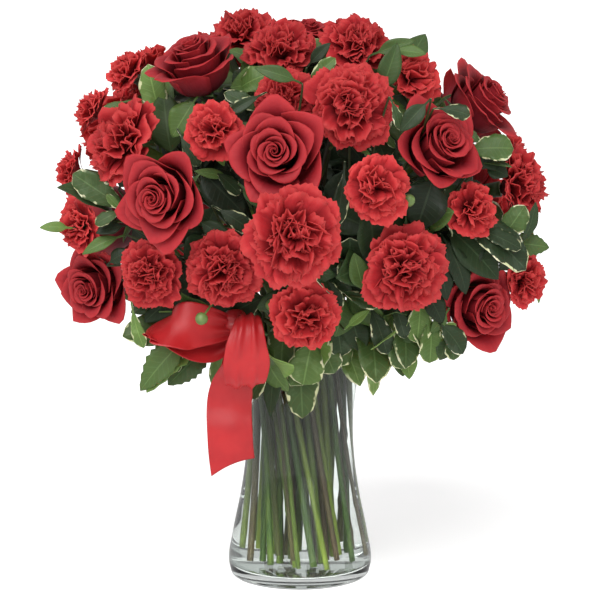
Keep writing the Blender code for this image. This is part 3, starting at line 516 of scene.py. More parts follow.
def leaf_fits(leaf, placed, spacing=4.5 * MM):
    points = leaf.samples()
    blade = points[Leaf.STALK_SAMPLES :]
    if room_round_blooms(blade).min() < LEAF_MARGIN or not vase_clear_of(points):
        return False
    if not stems_clear_of(blade, leaf):
        return False
    if least_distance(points, BOW_POINTS) < 4 * MM:
        return False
    for other in placed:
        if np.linalg.norm(leaf.tip - other.tip) > leaf.length + other.length:
            continue
        if least_distance(blade, other.samples()[Leaf.STALK_SAMPLES :]) < spacing:
            return False
    return True


def gap_leaves(placed, sites, reach, length, width, random, most):
    """Leaves that fill the gaps between blooms, tried site by site over the dome."""
    for number in range(sites):
        if len(placed) >= most:
            break
        out = dome_way(number, 1 - (number + 0.5) / sites * 1.5)
        tip = DOME_CENTRE + out * DOME_AXES * reach
        if room_round_blooms(tip[None])[0] < 3 * MM:
            continue
        for attempt in range(12):
            lean = random.uniform(-1, 1, 3)
            size = length * random.uniform(0.8, 1.15) * (1 - 0.05 * attempt)
            start = tip - unit(out + 0.75 * lean) * size
            root, bunch = nearest_stem(start, ANY_JOINT)
            if not 0.55 * length < np.linalg.norm(tip - root) < 1.6 * length:
                continue
            normal = unit(out + 0.6 * random.uniform(-1, 1, 3) + np.array((0, -0.25, 0.35)))
            wide = width * random.uniform(0.85, 1.15) * (1 - 0.045 * attempt)
            leaf = Leaf(root, tip, wide, normal, size * random.uniform(0.06, 0.2), bunch)
            if leaf_fits(leaf, placed):
                placed.append(leaf)
                break
    return placed


def collar_leaves(placed, random, count):
    """Leaves that come out over the vase's rim and hang down round it."""
    upright = np.array((0, 0, 1.0))
    for number in range(count):
        around = 2 * math.pi * number / count + 0.1
        for _ in range(14):
            turn = around + random.uniform(-0.14, 0.14)
            out = np.array((math.sin(turn), -math.cos(turn), 0.0))
            reach = random.uniform(*COLLAR_REACH) * MM
            tip = out * reach + upright * random.uniform(*COLLAR_TIPS) * MM
            root, bunch = nearest_stem((out * COLLAR_ROOT[0] + upright * COLLAR_ROOT[1]) * MM, COLLAR_JOINT)
            normal = unit(0.7 * (out + upright) + 0.25 * random.uniform(-1, 1, 3))
            arch = random.uniform(*COLLAR_ARCHES) * MM
            leaf = Leaf(root, tip, random.uniform(*COLLAR_WIDTHS) * MM, normal, arch, bunch, "edged")
            if leaf_fits(leaf, placed):
                placed.append(leaf)
                break
    return placed


def named_leaves(random):
    """The leaves that stand out, each nudged until it clears everything round it."""
    placed = []
    for tip, near, width, arch, azimuth, elevation, kind in NAMED_LEAVES:
        for attempt in range(60):
            nudge = random.uniform(-1, 1, 3) * min(attempt, 30) * 0.4
            root, bunch = nearest_stem((np.array(near) + 2 * nudge) * MM, NAMED_JOINT)
            more = 1 + 0.03 * attempt
            less = max(1 - 0.008 * attempt, 0.7)
            place = (np.array(tip) + nudge) * MM
            normal = facing(azimuth, elevation)
            leaf = Leaf(root, place, width * less * MM, normal, arch * more * MM, bunch, kind)
            if leaf.length < 92 * MM and leaf_fits(leaf, placed, 3 * MM):
                placed.append(leaf)
                break
    return placed


def all_leaves():
    random = np.random.default_rng(LEAF_SEED)
    placed = named_leaves(random)
    placed = collar_leaves(placed, random, COLLAR_LEAVES)
    return gap_leaves(placed, LEAF_SITES, LEAF_REACH, *GAP_LEAF, random, MOST_LEAVES)


# Leaves that stand out among the others: tip, place near its stem, width, arch (mm),
# azimuth and elevation faced, kind.
NAMED_LEAVES = (
    ((2, -79, 149), (5, -40, 214), 28, 20, 0, 15, "edged"),
    ((-27, -78, 150), (-9, -38, 214), 25, 20, -18, 15, "plain"),
    ((-6, -96, 181), (33, -58, 222), 27, 10, 8, 25, "edged"),
    ((61, -102, 184), (38, -55, 224), 31, 12, 20, 15, "edged"),
    ((86, -106, 199), (64, -62, 232), 26, 9, 30, 20, "edged"),
    ((106, -98, 212), (80, -58, 240), 25, 9, 40, 25, "edged"),
    ((133, -96, 224), (96, -56, 244), 27, 8, 40, 15, "edged"),
    ((-121, -104, 179), (-66, -56, 214), 33, 12, -25, 20, "serrated"),
    ((-99, -96, 184), (-56, -50, 214), 25, 10, -30, 20, "serrated"),
    ((-140, -88, 216), (-82, -66, 220), 26, 8, -35, 30, "edged"),
    ((-126, -92, 414), (-88, -60, 372), 34, 7, -20, 30, "edged"),
    ((-76, -96, 398), (-62, -52, 366), 26, 6, -25, 30, "plain"),
    ((-186, -78, 336), (-138, -52, 316), 26, 8, -35, 35, "plain"),
    ((178, -96, 274), (124, -72, 290), 34, 9, 30, 25, "edged"),
    ((180, -100, 308), (128, -78, 298), 25, 9, 40, 30, "edged"),
    ((100, -36, 453), (72, -40, 414), 24, 6, 10, 45, "plain"),
    ((172, -98, 364), (130, -66, 346), 25, 8, 35, 30, "plain"),
)

# Round green buds on thin stalks: middle, place near its stem (mm).
BUDS = (
    ((-75, -146, 239), (-64, -96, 251)),
    ((-22, -128, 247), (-14, -84, 252)),
    ((82, -150, 330), (60, -108, 306)),
    ((26, -166, 292), (16, -120, 288)),
)
BUD_RADIUS = 4.9 * MM
BUD_STALK = 0.9 * MM

# The bow: a satin ribbon tied in a knot on a florist's pick, at the front left of the vase's mouth.
KNOT = (-51, -101, 229)
KNOT_SIZE = (11, 9, 11)
# Each band runs through its places (mm), with its width there and the direction across it.
BANDS = (
    (
        ((-48, -102, 225), 13, (0, 0.1, 1)),
        ((-65, -114, 228), 27, (0, 0.1, 1)),
        ((-84, -122, 230), 37, (0, 0.15, 1)),
        ((-100, -123, 228), 37, (0, 0.78, 0.62)),
        ((-112, -118, 226), 35, (0, 0.97, 0.24)),
        ((-120, -118, 223), 33, (0, 1, -0.1)),
        ((-112, -118.5, 220), 32, (0, 1, 0)),
        ((-100, -115, 217), 33, (0, 0.92, 0.38)),
        ((-82, -108, 213), 34, (0, 0.7, 0.7)),
        ((-66, -102, 214), 29, (0, 0.4, 0.9)),
        ((-48, -99, 222), 12, (0, 0, 1)),
    ),
    (
        ((-47, -104, 227), 12, (1, 0, 0)),
        ((-42, -115, 235), 16, (1, 0, 0.05)),
        ((-40, -126, 236), 19, (1, 0.05, 0.05)),
        ((-40, -133, 228), 25, (1, 0.1, 0.1)),
        ((-41, -136, 215), 32, (1, 0.1, 0.05)),
        ((-41, -136, 203), 36, (1, 0.1, 0.05)),
        ((-42, -132, 191), 33, (1, 0.05, 0.05)),
        ((-43, -126, 185.5), 30, (1, 0, 0.05)),
        ((-44, -119, 188), 29, (1, 0, 0)),
        ((-47, -110, 202), 25, (1, 0, 0)),
        ((-50, -104, 222), 14, (1, 0, 0)),
    ),
    (
        ((-51, -100, 224), 14, (1, 0, 0)),
        ((-50, -99, 208), 19, (1, 0, -0.05)),
        ((-50, -99, 193), 25, (1, 0.1, -0.1)),
        ((-54, -102, 176), 34, (1, 0.15, -0.1)),
        ((-55.5, -105, 158), 36, (1, 0.2, -0.05)),
        ((-55, -107, 136), 36, (1, 0.2, 0)),
        ((-52, -108, 110), 36, (1, 0.2, 0.5)),
    ),
)
PICK = ((-50.5, -91.2, 228), (0, -13, 194))  # its top behind the knot, its point among the stems
PICK_RADIUS = 1.5 * MM
PICK_STEPS = 30


def band_points():
    """Points all over the ribbon, the knot and the pick, which the leaves keep clear of."""
    rows = [np.linspace(PICK[0], PICK[1], PICK_STEPS) * MM, np.array(KNOT)[None] * MM]
    for band in BANDS:
        places, widths, across = (np.array(column, float) for column in zip(*band))
        across = np.array([unit(way) for way in across])
        fine = np.linspace(0, len(band) - 1, 5 * len(band))
        for share in (-1, -0.5, 0, 0.5, 1):
            rows.append(between(places + share * widths[:, None] / 2 * across, fine) * MM)
    return np.vstack(rows)


BOW_POINTS = band_points()


def frames(points):
    """Direction and two square directions at each point of a line, carried along without twist."""
    along = units(np.gradient(points, axis=0))
    sides = [unit(np.cross(along[0], (0.31, 0.95, 0.05)))]
    for d in along[1:]:
        sides.append(unit(sides[-1] - (sides[-1] @ d) * d))
    sides = np.array(sides)
    return along, sides, np.cross(along, sides)


# Blooms. A ring is (height, columns that its pattern is shifted, radius per step of the pattern, lift
# per step); radii and heights are shares of the bloom's radius. A rose has petals of three columns.
ROSE_RINGS = (
    (-0.55, 0, (0.13,), (0.0,)),
    (-0.22, 0, (0.74, 0.62, 0.62), (0.0,)),
    (0.05, 0, (1.0, 0.84, 0.76), (-0.12, 0.0, 0.04)),
    (-0.05, 0, (0.62, 0.60, 0.58), (0.0,)),
    (0.33, 1, (0.76, 0.68, 0.64), (-0.02, 0.03, 0.0)),
    (0.08, 1, (0.47, 0.45, 0.43), (0.0,)),
    (0.50, 2, (0.52, 0.45, 0.40), (0.0, 0.03, 0.0)),
)
ROSE_POLE = 0.26
CARNATION_RINGS = (
    (-0.46, 0, (0.16,), (0.0,)),
    (-0.30, 0, (0.55, 0.50), (0.0,)),
    (-0.08, 0, (1.0, 0.84), (-0.06, 0.06)),
    (0.04, 0, (0.62, 0.56), (0.0,)),
    (0.28, 1, (0.84, 0.66), (-0.06, 0.06)),
    (0.22, 1, (0.42, 0.38), (0.0,)),
    (0.50, 0, (0.54, 0.40), (0.0, -0.07)),
)
CARNATION_POLE = 0.30
MINI_RINGS = (
    (-0.48, 0, (0.16,), (0.0,)),
    (-0.05, 0, (1.0, 0.80), (-0.06, 0.08)),
    (0.10, 0, (0.56, 0.50), (0.0,)),
    (0.38, 1, (0.70, 0.48), (0.0, 0.05)),
)
MINI_POLE = 0.16
HEADS = {
    "rose": (ROSE_RINGS, ROSE_POLE, 15),
    "carnation": (CARNATION_RINGS, CARNATION_POLE, 12),
    "mini": (MINI_RINGS, MINI_POLE, 10),
}
FULLNESS = 1.05  # the longest petals reach a little past the bloom's measured radius
ROUGH = {"rose": 0.035, "carnation": 0.07, "mini": 0.06}  # how uneven the petal edges are


def bloom_rings(bloom, number):
    """Radius, height and way out from the bloom's axis of each point of its rings."""
    rows, _, columns = HEADS[bloom.kind]
    random = np.random.default_rng(RING_SEED + number)
    angles = random.uniform(0, 2 * math.pi) + np.arange(columns) * 2 * math.pi / columns
    out = np.cos(angles)[:, None] * bloom.right + np.sin(angles)[:, None] * bloom.up
    radii = np.zeros((len(rows), columns))
    heights = np.zeros((len(rows), columns))
    for row, (height, shift, pattern, lifts) in enumerate(rows):
        for i in range(columns):
            uneven = random.uniform(-1, 1, 2) * ROUGH[bloom.kind] * (row > 0)
            step = i + shift
            radii[row, i] = pattern[step % len(pattern)] * (1 + uneven[0]) * FULLNESS
            heights[row, i] = height + lifts[step % len(lifts)] + 0.5 * uneven[1]
    return radii * bloom.radius, heights * bloom.radius + GAP, out


def ring_points(bloom, radii, heights, out):
    return bloom.middle + radii[:, :, None] * out[None] + heights[:, :, None] * bloom.face


PLANE_WAYS = 160  # directions tried for the plane between two blooms


def pressing_planes(clouds):
    """For each pair of blooms that meet, the plane between them along which they overlap least."""
    planes = []
    number = np.arange(PLANE_WAYS)
    around = number * GOLDEN_ANGLE
    height = 1 - (number + 0.5) / PLANE_WAYS * 2
    flat = np.sqrt(1 - height * height)
    ways = np.stack((flat * np.cos(around), flat * np.sin(around), height), 1)
    for i in range(len(clouds)):
        for j in range(i + 1, len(clouds)):
            apart = BLOOMS[j].middle - BLOOMS[i].middle
            if np.linalg.norm(apart) > 1.1 * (BLOOMS[i].radius + BLOOMS[j].radius):
                continue
            likely = np.vstack((ways[ways @ unit(apart) > 0.35], unit(apart)))
            low = (clouds[i] @ likely.T).max(0)
            high = (clouds[j] @ likely.T).min(0)
            best = (high - low).argmax()
            if (high - low)[best] < 2 * GAP:
                level = (high + low)[best] / 2
                planes.append((i, likely[best], level - 0.6 * GAP))
                planes.append((j, -likely[best], -level - 0.6 * GAP))
    return planes


# Meshes for the pieces that show.


def new_piece(name, points, faces, look, paint=None):
    """A smooth mesh object from arrays of points and faces; paint is read by the materials."""
    mesh = bpy.data.meshes.new(name)
    count, corners = faces.shape
    mesh.vertices.add(len(points))
    mesh.vertices.foreach_set("co", np.ascontiguousarray(points, dtype=np.float32).ravel())
    mesh.loops.add(count * corners)
    mesh.loops.foreach_set("vertex_index", np.ascontiguousarray(faces, dtype=np.int32).ravel())
    mesh.polygons.add(count)
    mesh.polygons.foreach_set("loop_start", np.arange(0, count * corners, corners, dtype=np.int32))
    mesh.update(calc_edges=True)
    mesh.validate()
    mesh.shade_smooth()
    if paint is not None:
        layer = mesh.attributes.new("paint", "FLOAT_COLOR", "POINT")
        layer.data.foreach_set("color", np.ascontiguousarray(paint, dtype=np.float32).ravel())
    mesh.materials.append(look)
    made = bpy.data.objects.new(name, mesh)
    bpy.context.scene.collection.objects.link(made)
    return made


def place(piece, nodes, slot):
    """The piece rides with the whole arrangement and stands for CAD nodes."""
    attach(piece, "root")
    for node in nodes:
        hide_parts(node)
    return piece


def add(name, mesh, look, slot, nodes=()):
    """A piece from a mesh's points, faces and paint."""
    points, faces, paint = mesh
    return place(new_piece(name, points, faces, look, paint), nodes, slot)


def skin(rings, sides):
    """Triangles round rings of points, closed to one more point in the middle of each end."""
    number = np.arange(rings * sides).reshape(rings, sides)
    on = np.roll(number, -1, 1)
    walls = np.stack((number[:-1], on[:-1], on[1:], number[1:]), 2).reshape(-1, 4)
    foot = np.full(sides, number.size)
    caps = (np.stack((foot, on[0], number[0]), 1), np.stack((foot + 1, number[-1], on[-1]), 1))
    return np.concatenate((walls[:, [0, 1, 2]], walls[:, [0, 2, 3]], *caps))


def grid_paint(wide, long, along, across, tone=0.0):
    """What the materials read at each point of a grid: place along and across it, and tone."""
    paint = np.zeros((wide, long, 4))
    paint[..., 0] = along
    paint[..., 1] = across
    paint[..., 2] = tone
    return paint


def sheet_normals(grids):
    across = np.gradient(grids, axis=1)
    along = np.gradient(grids, axis=2)
    normals = np.cross(across, along)
    return normals / (np.linalg.norm(normals, axis=3, keepdims=True) + 1e-12)


def closed_sheets(grids, thickness, paint):
    """Points, faces and paint of thin closed sheets, from grids of points (sheet, across, along)."""
    sheets, wide, long = grids.shape[:3]
    rise = sheet_normals(grids) * thickness / 2
    points = np.concatenate(((grids + rise).reshape(-1, 3), (grids - rise).reshape(-1, 3)))
    under = paint.copy()
    under[..., 3] = 1.0
    paint = np.concatenate((paint.reshape(-1, 4), under.reshape(-1, 4)))
    number = np.arange(sheets * wide * long).reshape(sheets, wide, long)
    below = number + number.size

    def quads(a, b, c, d):
        return np.stack((a.ravel(), b.ravel(), c.ravel(), d.ravel()), 1)

    faces = [
        quads(number[:, :-1, :-1], number[:, 1:, :-1], number[:, 1:, 1:], number[:, :-1, 1:]),
        quads(below[:, :-1, 1:], below[:, 1:, 1:], below[:, 1:, :-1], below[:, :-1, :-1]),
    ]
    for edge, flip in ((0, False), (-1, True)):
        a, b = number[:, :-1, edge], number[:, 1:, edge]
        c, d = below[:, :-1, edge], below[:, 1:, edge]
        faces.append(quads(b, d, c, a) if flip else quads(a, c, d, b))
        a, b = number[:, edge, :-1], number[:, edge, 1:]
        c, d = below[:, edge, :-1], below[:, edge, 1:]
        faces.append(quads(a, c, d, b) if flip else quads(a, b, d, c))
    return points, np.concatenate(faces), paint


def ease(low, high, value):
    share = np.clip((value - low) / (high - low), 0, 1)
    return share * share * (3 - 2 * share)


def arc(start, turn, share):
    """How far out and up a line of unit length goes whose lean from the axis turns steadily."""
    turn = np.where(np.abs(turn) < 1e-3, 1e-3, turn)
    out = (np.cos(start) - np.cos(start + turn * share)) / turn
    up = (np.sin(start + turn * share) - np.sin(start)) / turn
    return out, up


# Petals. Each is a grid across (u from -1 to 1) and along (v from 0 to 1), in shares of the
# bloom's radius: distance from its axis, angle round it, and height.

# A rose from its heart outward: petals, half of the angle that each spans (radians), radius and
# height of the rim, how far the rim rolls outward (degrees) and over what length, how pointed it is.
ROSE_LAYERS = (
    (3, 2.30, 0.045, 0.50, 15, 0.03, 0.02),
    (3, 1.90, 0.11, 0.51, 60, 0.05, 0.05),
    (4, 1.45, 0.19, 0.49, 82, 0.08, 0.10),
    (4, 1.25, 0.29, 0.43, 84, 0.12, 0.16),
    (4, 1.12, 0.40, 0.33, 78, 0.19, 0.24),
    (4, 1.05, 0.52, 0.18, 68, 0.31, 0.32),
    (5, 1.00, 0.62, 0.02, 56, 0.44, 0.40),
)
ROSE_GRID = (13, 12)
ROSE_BASE = (0.10, -0.53)  # where each petal springs from: out from the axis, and height
ROSE_HEM = math.radians(110)  # the margin rolls back this much more at the sides of its point


def rose_grids(random):
    u = np.linspace(-1, 1, ROSE_GRID[0])[:, None]
    v = 1 - (1 - np.linspace(0, 1, ROSE_GRID[1])[None, :]) ** 1.45
    grids, paints = [], []
    turn = random.uniform(0, PHASE)
    total = sum(layer[0] for layer in ROSE_LAYERS)
    for count, span, cup, high, roll, length, point in ROSE_LAYERS:
        for _ in range(count):
            t = len(grids) / (total - 1)
            turn += GOLDEN_ANGLE if count < 5 else 2 * math.pi / count
            angle = turn + random.uniform(-0.16, 0.16)
            wide = cup * random.uniform(0.93, 1.06)
            tall = high + random.uniform(-0.03, 0.03)
            lean = math.radians(2 + 26 * t)
            start = 1 - length / (0.80 + length)
            tip = 0.3 * t * random.uniform(-1, 1)
            aside = np.abs(u - tip) / (1 + abs(tip))
            reach = v * (1 - point * aside ** (1.8 - 1.0 * t))
            rise = np.clip(reach / start, 0, 1)
            curl = np.clip((reach - start) / (1 - start), 0, 1)
            base = ROSE_BASE
            top = np.array((wide, tall))
            knee = (base[0] + 0.90 * (wide - base[0]), -0.5 + 0.16 * (tall + 0.5))
            wrist = top - 0.4 * (tall + 0.5) * np.array((math.sin(lean), math.cos(lean)))
            share = ((1 - rise) ** 3, 3 * rise * (1 - rise) ** 2, 3 * rise**2 * (1 - rise), rise**3)
            out, up = (sum(w * p for w, p in zip(share, row)) for row in zip(base, knee, wrist, top))
            slope = lean + math.radians(roll) * (1 + 1.5 * t * aside ** (1.1 - 0.4 * t)) * curl
            slope = slope + ROSE_HEM * t * aside * ease(0.5, 1.0, v) * curl**2
            grow = length * random.uniform(0.80, 1.16) * np.diff(curl, axis=1, prepend=0)
            out = out + np.cumsum(grow * np.sin(slope), 1)
            up = up + np.cumsum(grow * np.cos(slope), 1)
            wave = random.uniform(0, PHASE, 3)
            up = up + 0.018 * np.sin(4.5 * u + wave[0]) * v**2
            up = up + (0.035 * t * np.sin(2.4 * u + wave[1]) + 0.03 * random.uniform(-1, 1) * u) * v**3
            spiral = 0.10 + 0.45 * (1 - t) ** 3
            out = out * (1 + spiral * u) + 0.03 * t * np.sin(2.6 * u + wave[2]) * v**2
            narrow = 1 - 0.14 * curl * t
            around = angle + u * span * narrow
            grids.append(np.stack((out * np.cos(around), out * np.sin(around), up), 2))
            paints.append(petal_paint(u, v, t, random))
    return np.array(grids), np.array(paints)


def petal_paint(u, v, t, random):
    shape = np.broadcast(u, v).shape
    one = random.uniform(0, 1)
    # The third channel is low for the inner petals, which petal_look darkens as painted shade, with a
    # random part of each petal's own.
    layers = (v + 0 * u, 0.5 + 0.5 * u + 0 * v, np.full(shape, 0.7 * t + 0.3 * one), np.zeros(shape))
    return np.stack(layers, 2)


# A carnation from its outside in: petals, mean lean from the axis and bend outward (degrees),
# length, half width, depth of the ruffles, depth of the fold down the middle.
FRILLED_LAYERS = {
    "carnation": (
        (7, 70, 62, 1.08, 0.52, 0.055, 0.02),
        (6, 59, 66, 1.08, 0.48, 0.090, 0.06),
        (7, 46, 68, 1.08, 0.42, 0.120, 0.14),
        (8, 31, 70, 1.07, 0.36, 0.150, 0.22),
        (7, 14, 62, 1.04, 0.32, 0.160, 0.26),
    ),
    "mini": (
        (6, 67, 60, 1.08, 0.58, 0.065, 0.02),
        (6, 52, 62, 1.07, 0.48, 0.110, 0.10),
        (6, 34, 66, 1.05, 0.40, 0.150, 0.22),
        (4, 14, 56, 1.02, 0.34, 0.160, 0.26),
    ),
}
FRILLED_GRID = {"carnation": (21, 7), "mini": (17, 6)}


def frilled_grids(kind, random):
    columns, rows = FRILLED_GRID[kind]
    u = np.linspace(-1, 1, columns)[:, None]
    v = np.linspace(0, 1, rows)[None, :] ** 0.75
    total = sum(layer[0] for layer in FRILLED_LAYERS[kind])
    zigzag = np.where(np.arange(columns) % 2, 1, -1)[:, None]
    grids, paints = [], []
    turn = random.uniform(0, PHASE)
    for count, mean, bend, length, half, ruffle, fold in FRILLED_LAYERS[kind]:
        turn += random.uniform(0.3, 0.7)
        for _ in range(count):
            t = 1 - len(grids) / (total - 1)
            turn += 2 * math.pi / count
            loose = 0.14 + 0.35 * (1 - t)
            around = turn + random.uniform(-loose, loose)
            lean = math.radians(mean + random.uniform(-9, 9))
            arch = math.radians(bend * random.uniform(0.6, 1.4))
            long = length * random.uniform(0.85, 1.03)
            wide = half * random.uniform(0.86, 1.14)
            tooth = 0.034 * random.uniform(0.0, 1.0, (columns, 1)) * zigzag
            lobes = 0.050 * np.sin(random.uniform(3.5, 7.0) * u + random.uniform(0, PHASE))
            reach = v * (1 - 0.20 * np.abs(u) ** 2.4) + (tooth + lobes) * ease(0.72, 1.0, v)
            out, up = arc(lean - 0.5 * arch, arch, reach)
            out, up = 0.04 + long * out, -0.47 + long * up
            slope = lean + arch * (reach - 0.5)
            side = wide * u * (0.14 + 0.86 * ease(0.22, 0.90, v))
            waves = random.uniform(0, PHASE, 4)
            pitch = random.uniform(1.5, 2.5) * math.pi
            frill = 0.75 * np.sin(pitch * u + waves[0]) + 0.35 * np.sin(2.3 * pitch * u + waves[1])
            frill = frill + 0.16 * np.sin(4.1 * pitch * u + waves[2]) * ease(0.7, 1.0, v)
            deep = ruffle * ease(0.35, 1.0, v) * frill
            deep = deep + fold * (np.abs(u) - 0.4) * ease(0.2, 0.9, v) * random.uniform(0.5, 1.2)
            skew = random.uniform(-0.9, 0.9) * (1.1 - t)
            deep = deep + side * math.sin(skew)
            side = side * math.cos(skew)
            out = out - deep * np.cos(slope)
            up = up + deep * np.sin(slope)
            c, s = math.cos(around), math.sin(around)
            grids.append(np.stack((out * c - side * s, out * s + side * c, up + 0 * u), 2))
            paints.append(petal_paint(u, v, t, random))
    return np.array(grids), np.array(paints)


PETAL_THICKNESS = 0.35 * MM
PETAL_FULLNESS = {"rose": 1.04, "carnation": 1.0, "mini": 1.0}
PETAL_SLOTS = {"rose": "rose_petal", "carnation": "carnation_petal", "mini": "mini_carnation_petal"}
RING_SEED = 100
PETAL_SEED = 500


def dress_blooms(looks):
    shapes = [bloom_rings(bloom, number) for number, bloom in enumerate(BLOOMS)]
    clouds = [ring_points(bloom, *shape).reshape(-1, 3) for bloom, shape in zip(BLOOMS, shapes)]
    planes = pressing_planes(clouds)
    for number, bloom in enumerate(BLOOMS):
        random = np.random.default_rng(PETAL_SEED + number)
        kind = bloom.kind
        grids, paint = rose_grids(random) if kind == "rose" else frilled_grids(kind, random)
        axes = np.array((bloom.right, bloom.up, bloom.face))
        size = bloom.radius * PETAL_FULLNESS[kind]
        grids = bloom.middle + GAP * bloom.face + size * (grids @ axes)
        for _ in range(4):
            for owner, way, level in planes:
                if owner == number:
                    grids = grids - np.maximum(grids @ way - level, 0)[..., None] * way
        mesh = closed_sheets(grids, PETAL_THICKNESS, paint)
        add("petals_" + bloom.name, mesh, looks[kind], PETAL_SLOTS[kind], [bloom.name])


# Stems and leaves.


def tube_mesh(points, radii, sides, tints):
    """Points, faces and paint of a tube with closed ends."""
    _, right, up = frames(points)
    angles = np.arange(sides) * 2 * math.pi / sides
    flat = np.cos(angles)[None, :, None] * right[:, None] + np.sin(angles)[None, :, None] * up[:, None]
    rings = points[:, None] + np.asarray(radii)[:, None, None] * flat
    ends = np.stack((points[0], points[-1]))
    paint = np.zeros((len(points), sides, 4))
    paint[..., 0] = np.linspace(0, 1, len(points))[:, None]
    paint[..., 1:3] = tints
    paint = np.concatenate((paint.reshape(-1, 4), np.array(((0, *tints, 1.0), (1, *tints, 1.0)))))
    return np.concatenate((rings.reshape(-1, 3), ends)), skin(len(points), sides), paint


def even_tube(points, thick, thin, sides, tints):
    """A tube that thins evenly from its first point to its last."""
    return tube_mesh(points, np.linspace(thick, thin, len(points)), sides, tints)


def gathered(pieces):
    """One set of points, faces and paint from many."""
    offset, faces = 0, []
    for points, quads, _ in pieces:
        faces.append(quads + offset)
        offset += len(points)
    points, _, paint = zip(*pieces)
    return np.concatenate(points), np.concatenate(faces), np.concatenate(paint)


STEM_SIDES = 12
JOINT_SPACING = 52 * MM  # between the swollen joints of a carnation's stem, about
JOINT_SWELL = 0.30
JOINT_LENGTH = 3.2 * MM


def stem_mesh(stem, number):
    """A cut stem from its foot to its flower's calyx, with the swollen joints that carnations have."""
    low = stem.foot + np.linspace(0, 1, 26)[:-1, None] * (stem.rim - stem.foot)
    points = np.vstack((low, stem.upper(24)))
    steps = np.concatenate(((0,), np.cumsum(np.linalg.norm(np.diff(points, axis=0), axis=1))))
    radii = np.full(len(points), stem.radius * 0.97)
    if stem.kind != "rose":
        spacing = JOINT_SPACING + 7 * MM * math.sin(number)
        apart = np.abs((steps + 17 * MM * number) % spacing - spacing / 2)
        radii = radii * (1 + JOINT_SWELL * np.exp(-((apart / JOINT_LENGTH) ** 2)))
    if stem.bloom is not None:
        points, radii = with_calyx(stem.bloom, points, radii)
    tints = (0.5 + 0.5 * math.sin(5.1 * number), 0.5 + 0.5 * math.cos(3.7 * number))
    return tube_mesh(points, radii, STEM_SIDES, tints)


PEDICEL_STEPS = 18
CALYX_SHAPE = {  # share of the calyx's length, share of its widest radius
    "rose": ((0.25, 0.50), (0.5, 0.70), (0.72, 0.96), (0.9, 1.0), (1.0, 0.86)),
    "carnation": ((0.06, 0.62), (0.14, 0.80), (0.4, 0.88), (0.75, 0.96), (1.0, 1.0)),
}


def with_calyx(bloom, points, radii):
    shape = CALYX_SHAPE["rose" if bloom.kind == "rose" else "carnation"]
    more = [bloom.neck + (bloom.base - bloom.neck) * share for share, _ in shape]
    swell = CALYX_RADIUS[bloom.kind]
    return np.vstack((points, more)), np.concatenate((radii, [swell * wide for _, wide in shape]))


def pedicel_mesh(bloom, number):
    points = pedicel(bloom, STEMS, PEDICEL_STEPS)
    points, radii = with_calyx(bloom, points, np.full(PEDICEL_STEPS, STEM_RADIUS["mini"]))
    return tube_mesh(points, radii, 10, (0.4 + 0.2 * math.sin(number), 0.2))


SEPALS = 5
SEPAL_GRID = (5, 9)
SEPAL_THICKNESS = 0.5 * MM
SEPAL_HALF = 3.6 * MM  # half of its width, before it narrows to its point
SEPAL_ROOT = 4.0 * MM  # how far out from the rose's axis it springs


def sepal_meshes(bloom, random):
    """The five green sepals that lie back under a rose."""
    wide, long = SEPAL_GRID
    u = np.linspace(-1, 1, wide)[:, None]
    v = np.linspace(0, 1, long)[None, :]
    half = SEPAL_HALF * (1 - v) ** 0.7 * (0.75 + 0.5 * np.sin(math.pi * v))
    start = bloom.base - 1.2 * MM * bloom.face
    grids = []
    for k in range(SEPALS):
        out = way_round(k * 2 * math.pi / SEPALS + random.uniform(-0.2, 0.2), bloom.right, bloom.up)
        side = np.cross(bloom.face, out)
        length = bloom.radius * random.uniform(0.5, 0.62)
        far, high = arc(1.2, random.uniform(0.2, 0.9), v)
        middle = start + (SEPAL_ROOT + length * far)[..., None] * out
        middle = middle + (length * high)[..., None] * bloom.face
        edge = (u * half)[..., None] * side + (0.2 * np.abs(u) * half)[..., None] * bloom.face
        grids.append(middle + edge)
    paint = np.stack([grid_paint(wide, long, v, 0.3, 0.55)] * SEPALS)
    return closed_sheets(np.array(grids), SEPAL_THICKNESS, paint)


# Points across and along each leaf.
LEAF_GRID = (7, 19)
INNER_GRID = (5, 13)
BLADE_THICKNESS = 0.55 * MM


def tone_and_shade_by_depth(leaf, random):
    """How light a leaf is: a random tone of its own, with painted shade that makes it dark inside the dome
    and light where it reaches its outside.
    """
    depth = np.linalg.norm((leaf.tip - DOME_CENTRE) / DOME_AXES)
    return 0.30 * random.uniform(0, 1) + 0.70 * ease(0.75, 1.05, depth)


def leaf_grid(leaf, tone, size, random):
    """A leaf's blade and stalk as a grid, with its outline, fold, waves and drooping tip."""
    wide, long = size
    u = np.linspace(-1, 1, wide)[:, None]
    t = np.linspace(0, 1, long) ** 0.92
    middle = leaf.middle_line(t)
    blade = np.clip((t - leaf.STALK) / (1 - leaf.STALK), 0, 1)
    half = leaf.half_width(t)
    if leaf.kind == "edged":
        half = leaf.width / 2 * np.sin(math.pi * blade**1.5) ** 0.46
        half = half * (1 + 0.05 * np.sin(30 * t + random.uniform(0, PHASE)))
    if leaf.kind == "serrated":
        half = half * (1 + 0.08 * np.where(np.arange(long) % 2, 1, -1) * (blade > 0.1))
    half = np.maximum(half, 0.75 * MM * (1 - 0.6 * blade))
    phase = random.uniform(0, PHASE, 2)
    fold = random.uniform(0.10, 0.30)
    wave = np.sin(9 * t + phase[0]) * 0.12 + 0.06 * np.sin(19 * t + phase[1])
    lift = half * (fold * np.abs(u) + wave * u * np.abs(u))
    droop = random.uniform(0.0, 0.12) * leaf.length * blade**2.5
    across = (u * half)[..., None] * leaf.side
    grid = middle[None] + across + (lift - droop[None])[..., None] * leaf.normal
    return grid, grid_paint(wide, long, blade, 0.5 + 0.5 * u, tone)


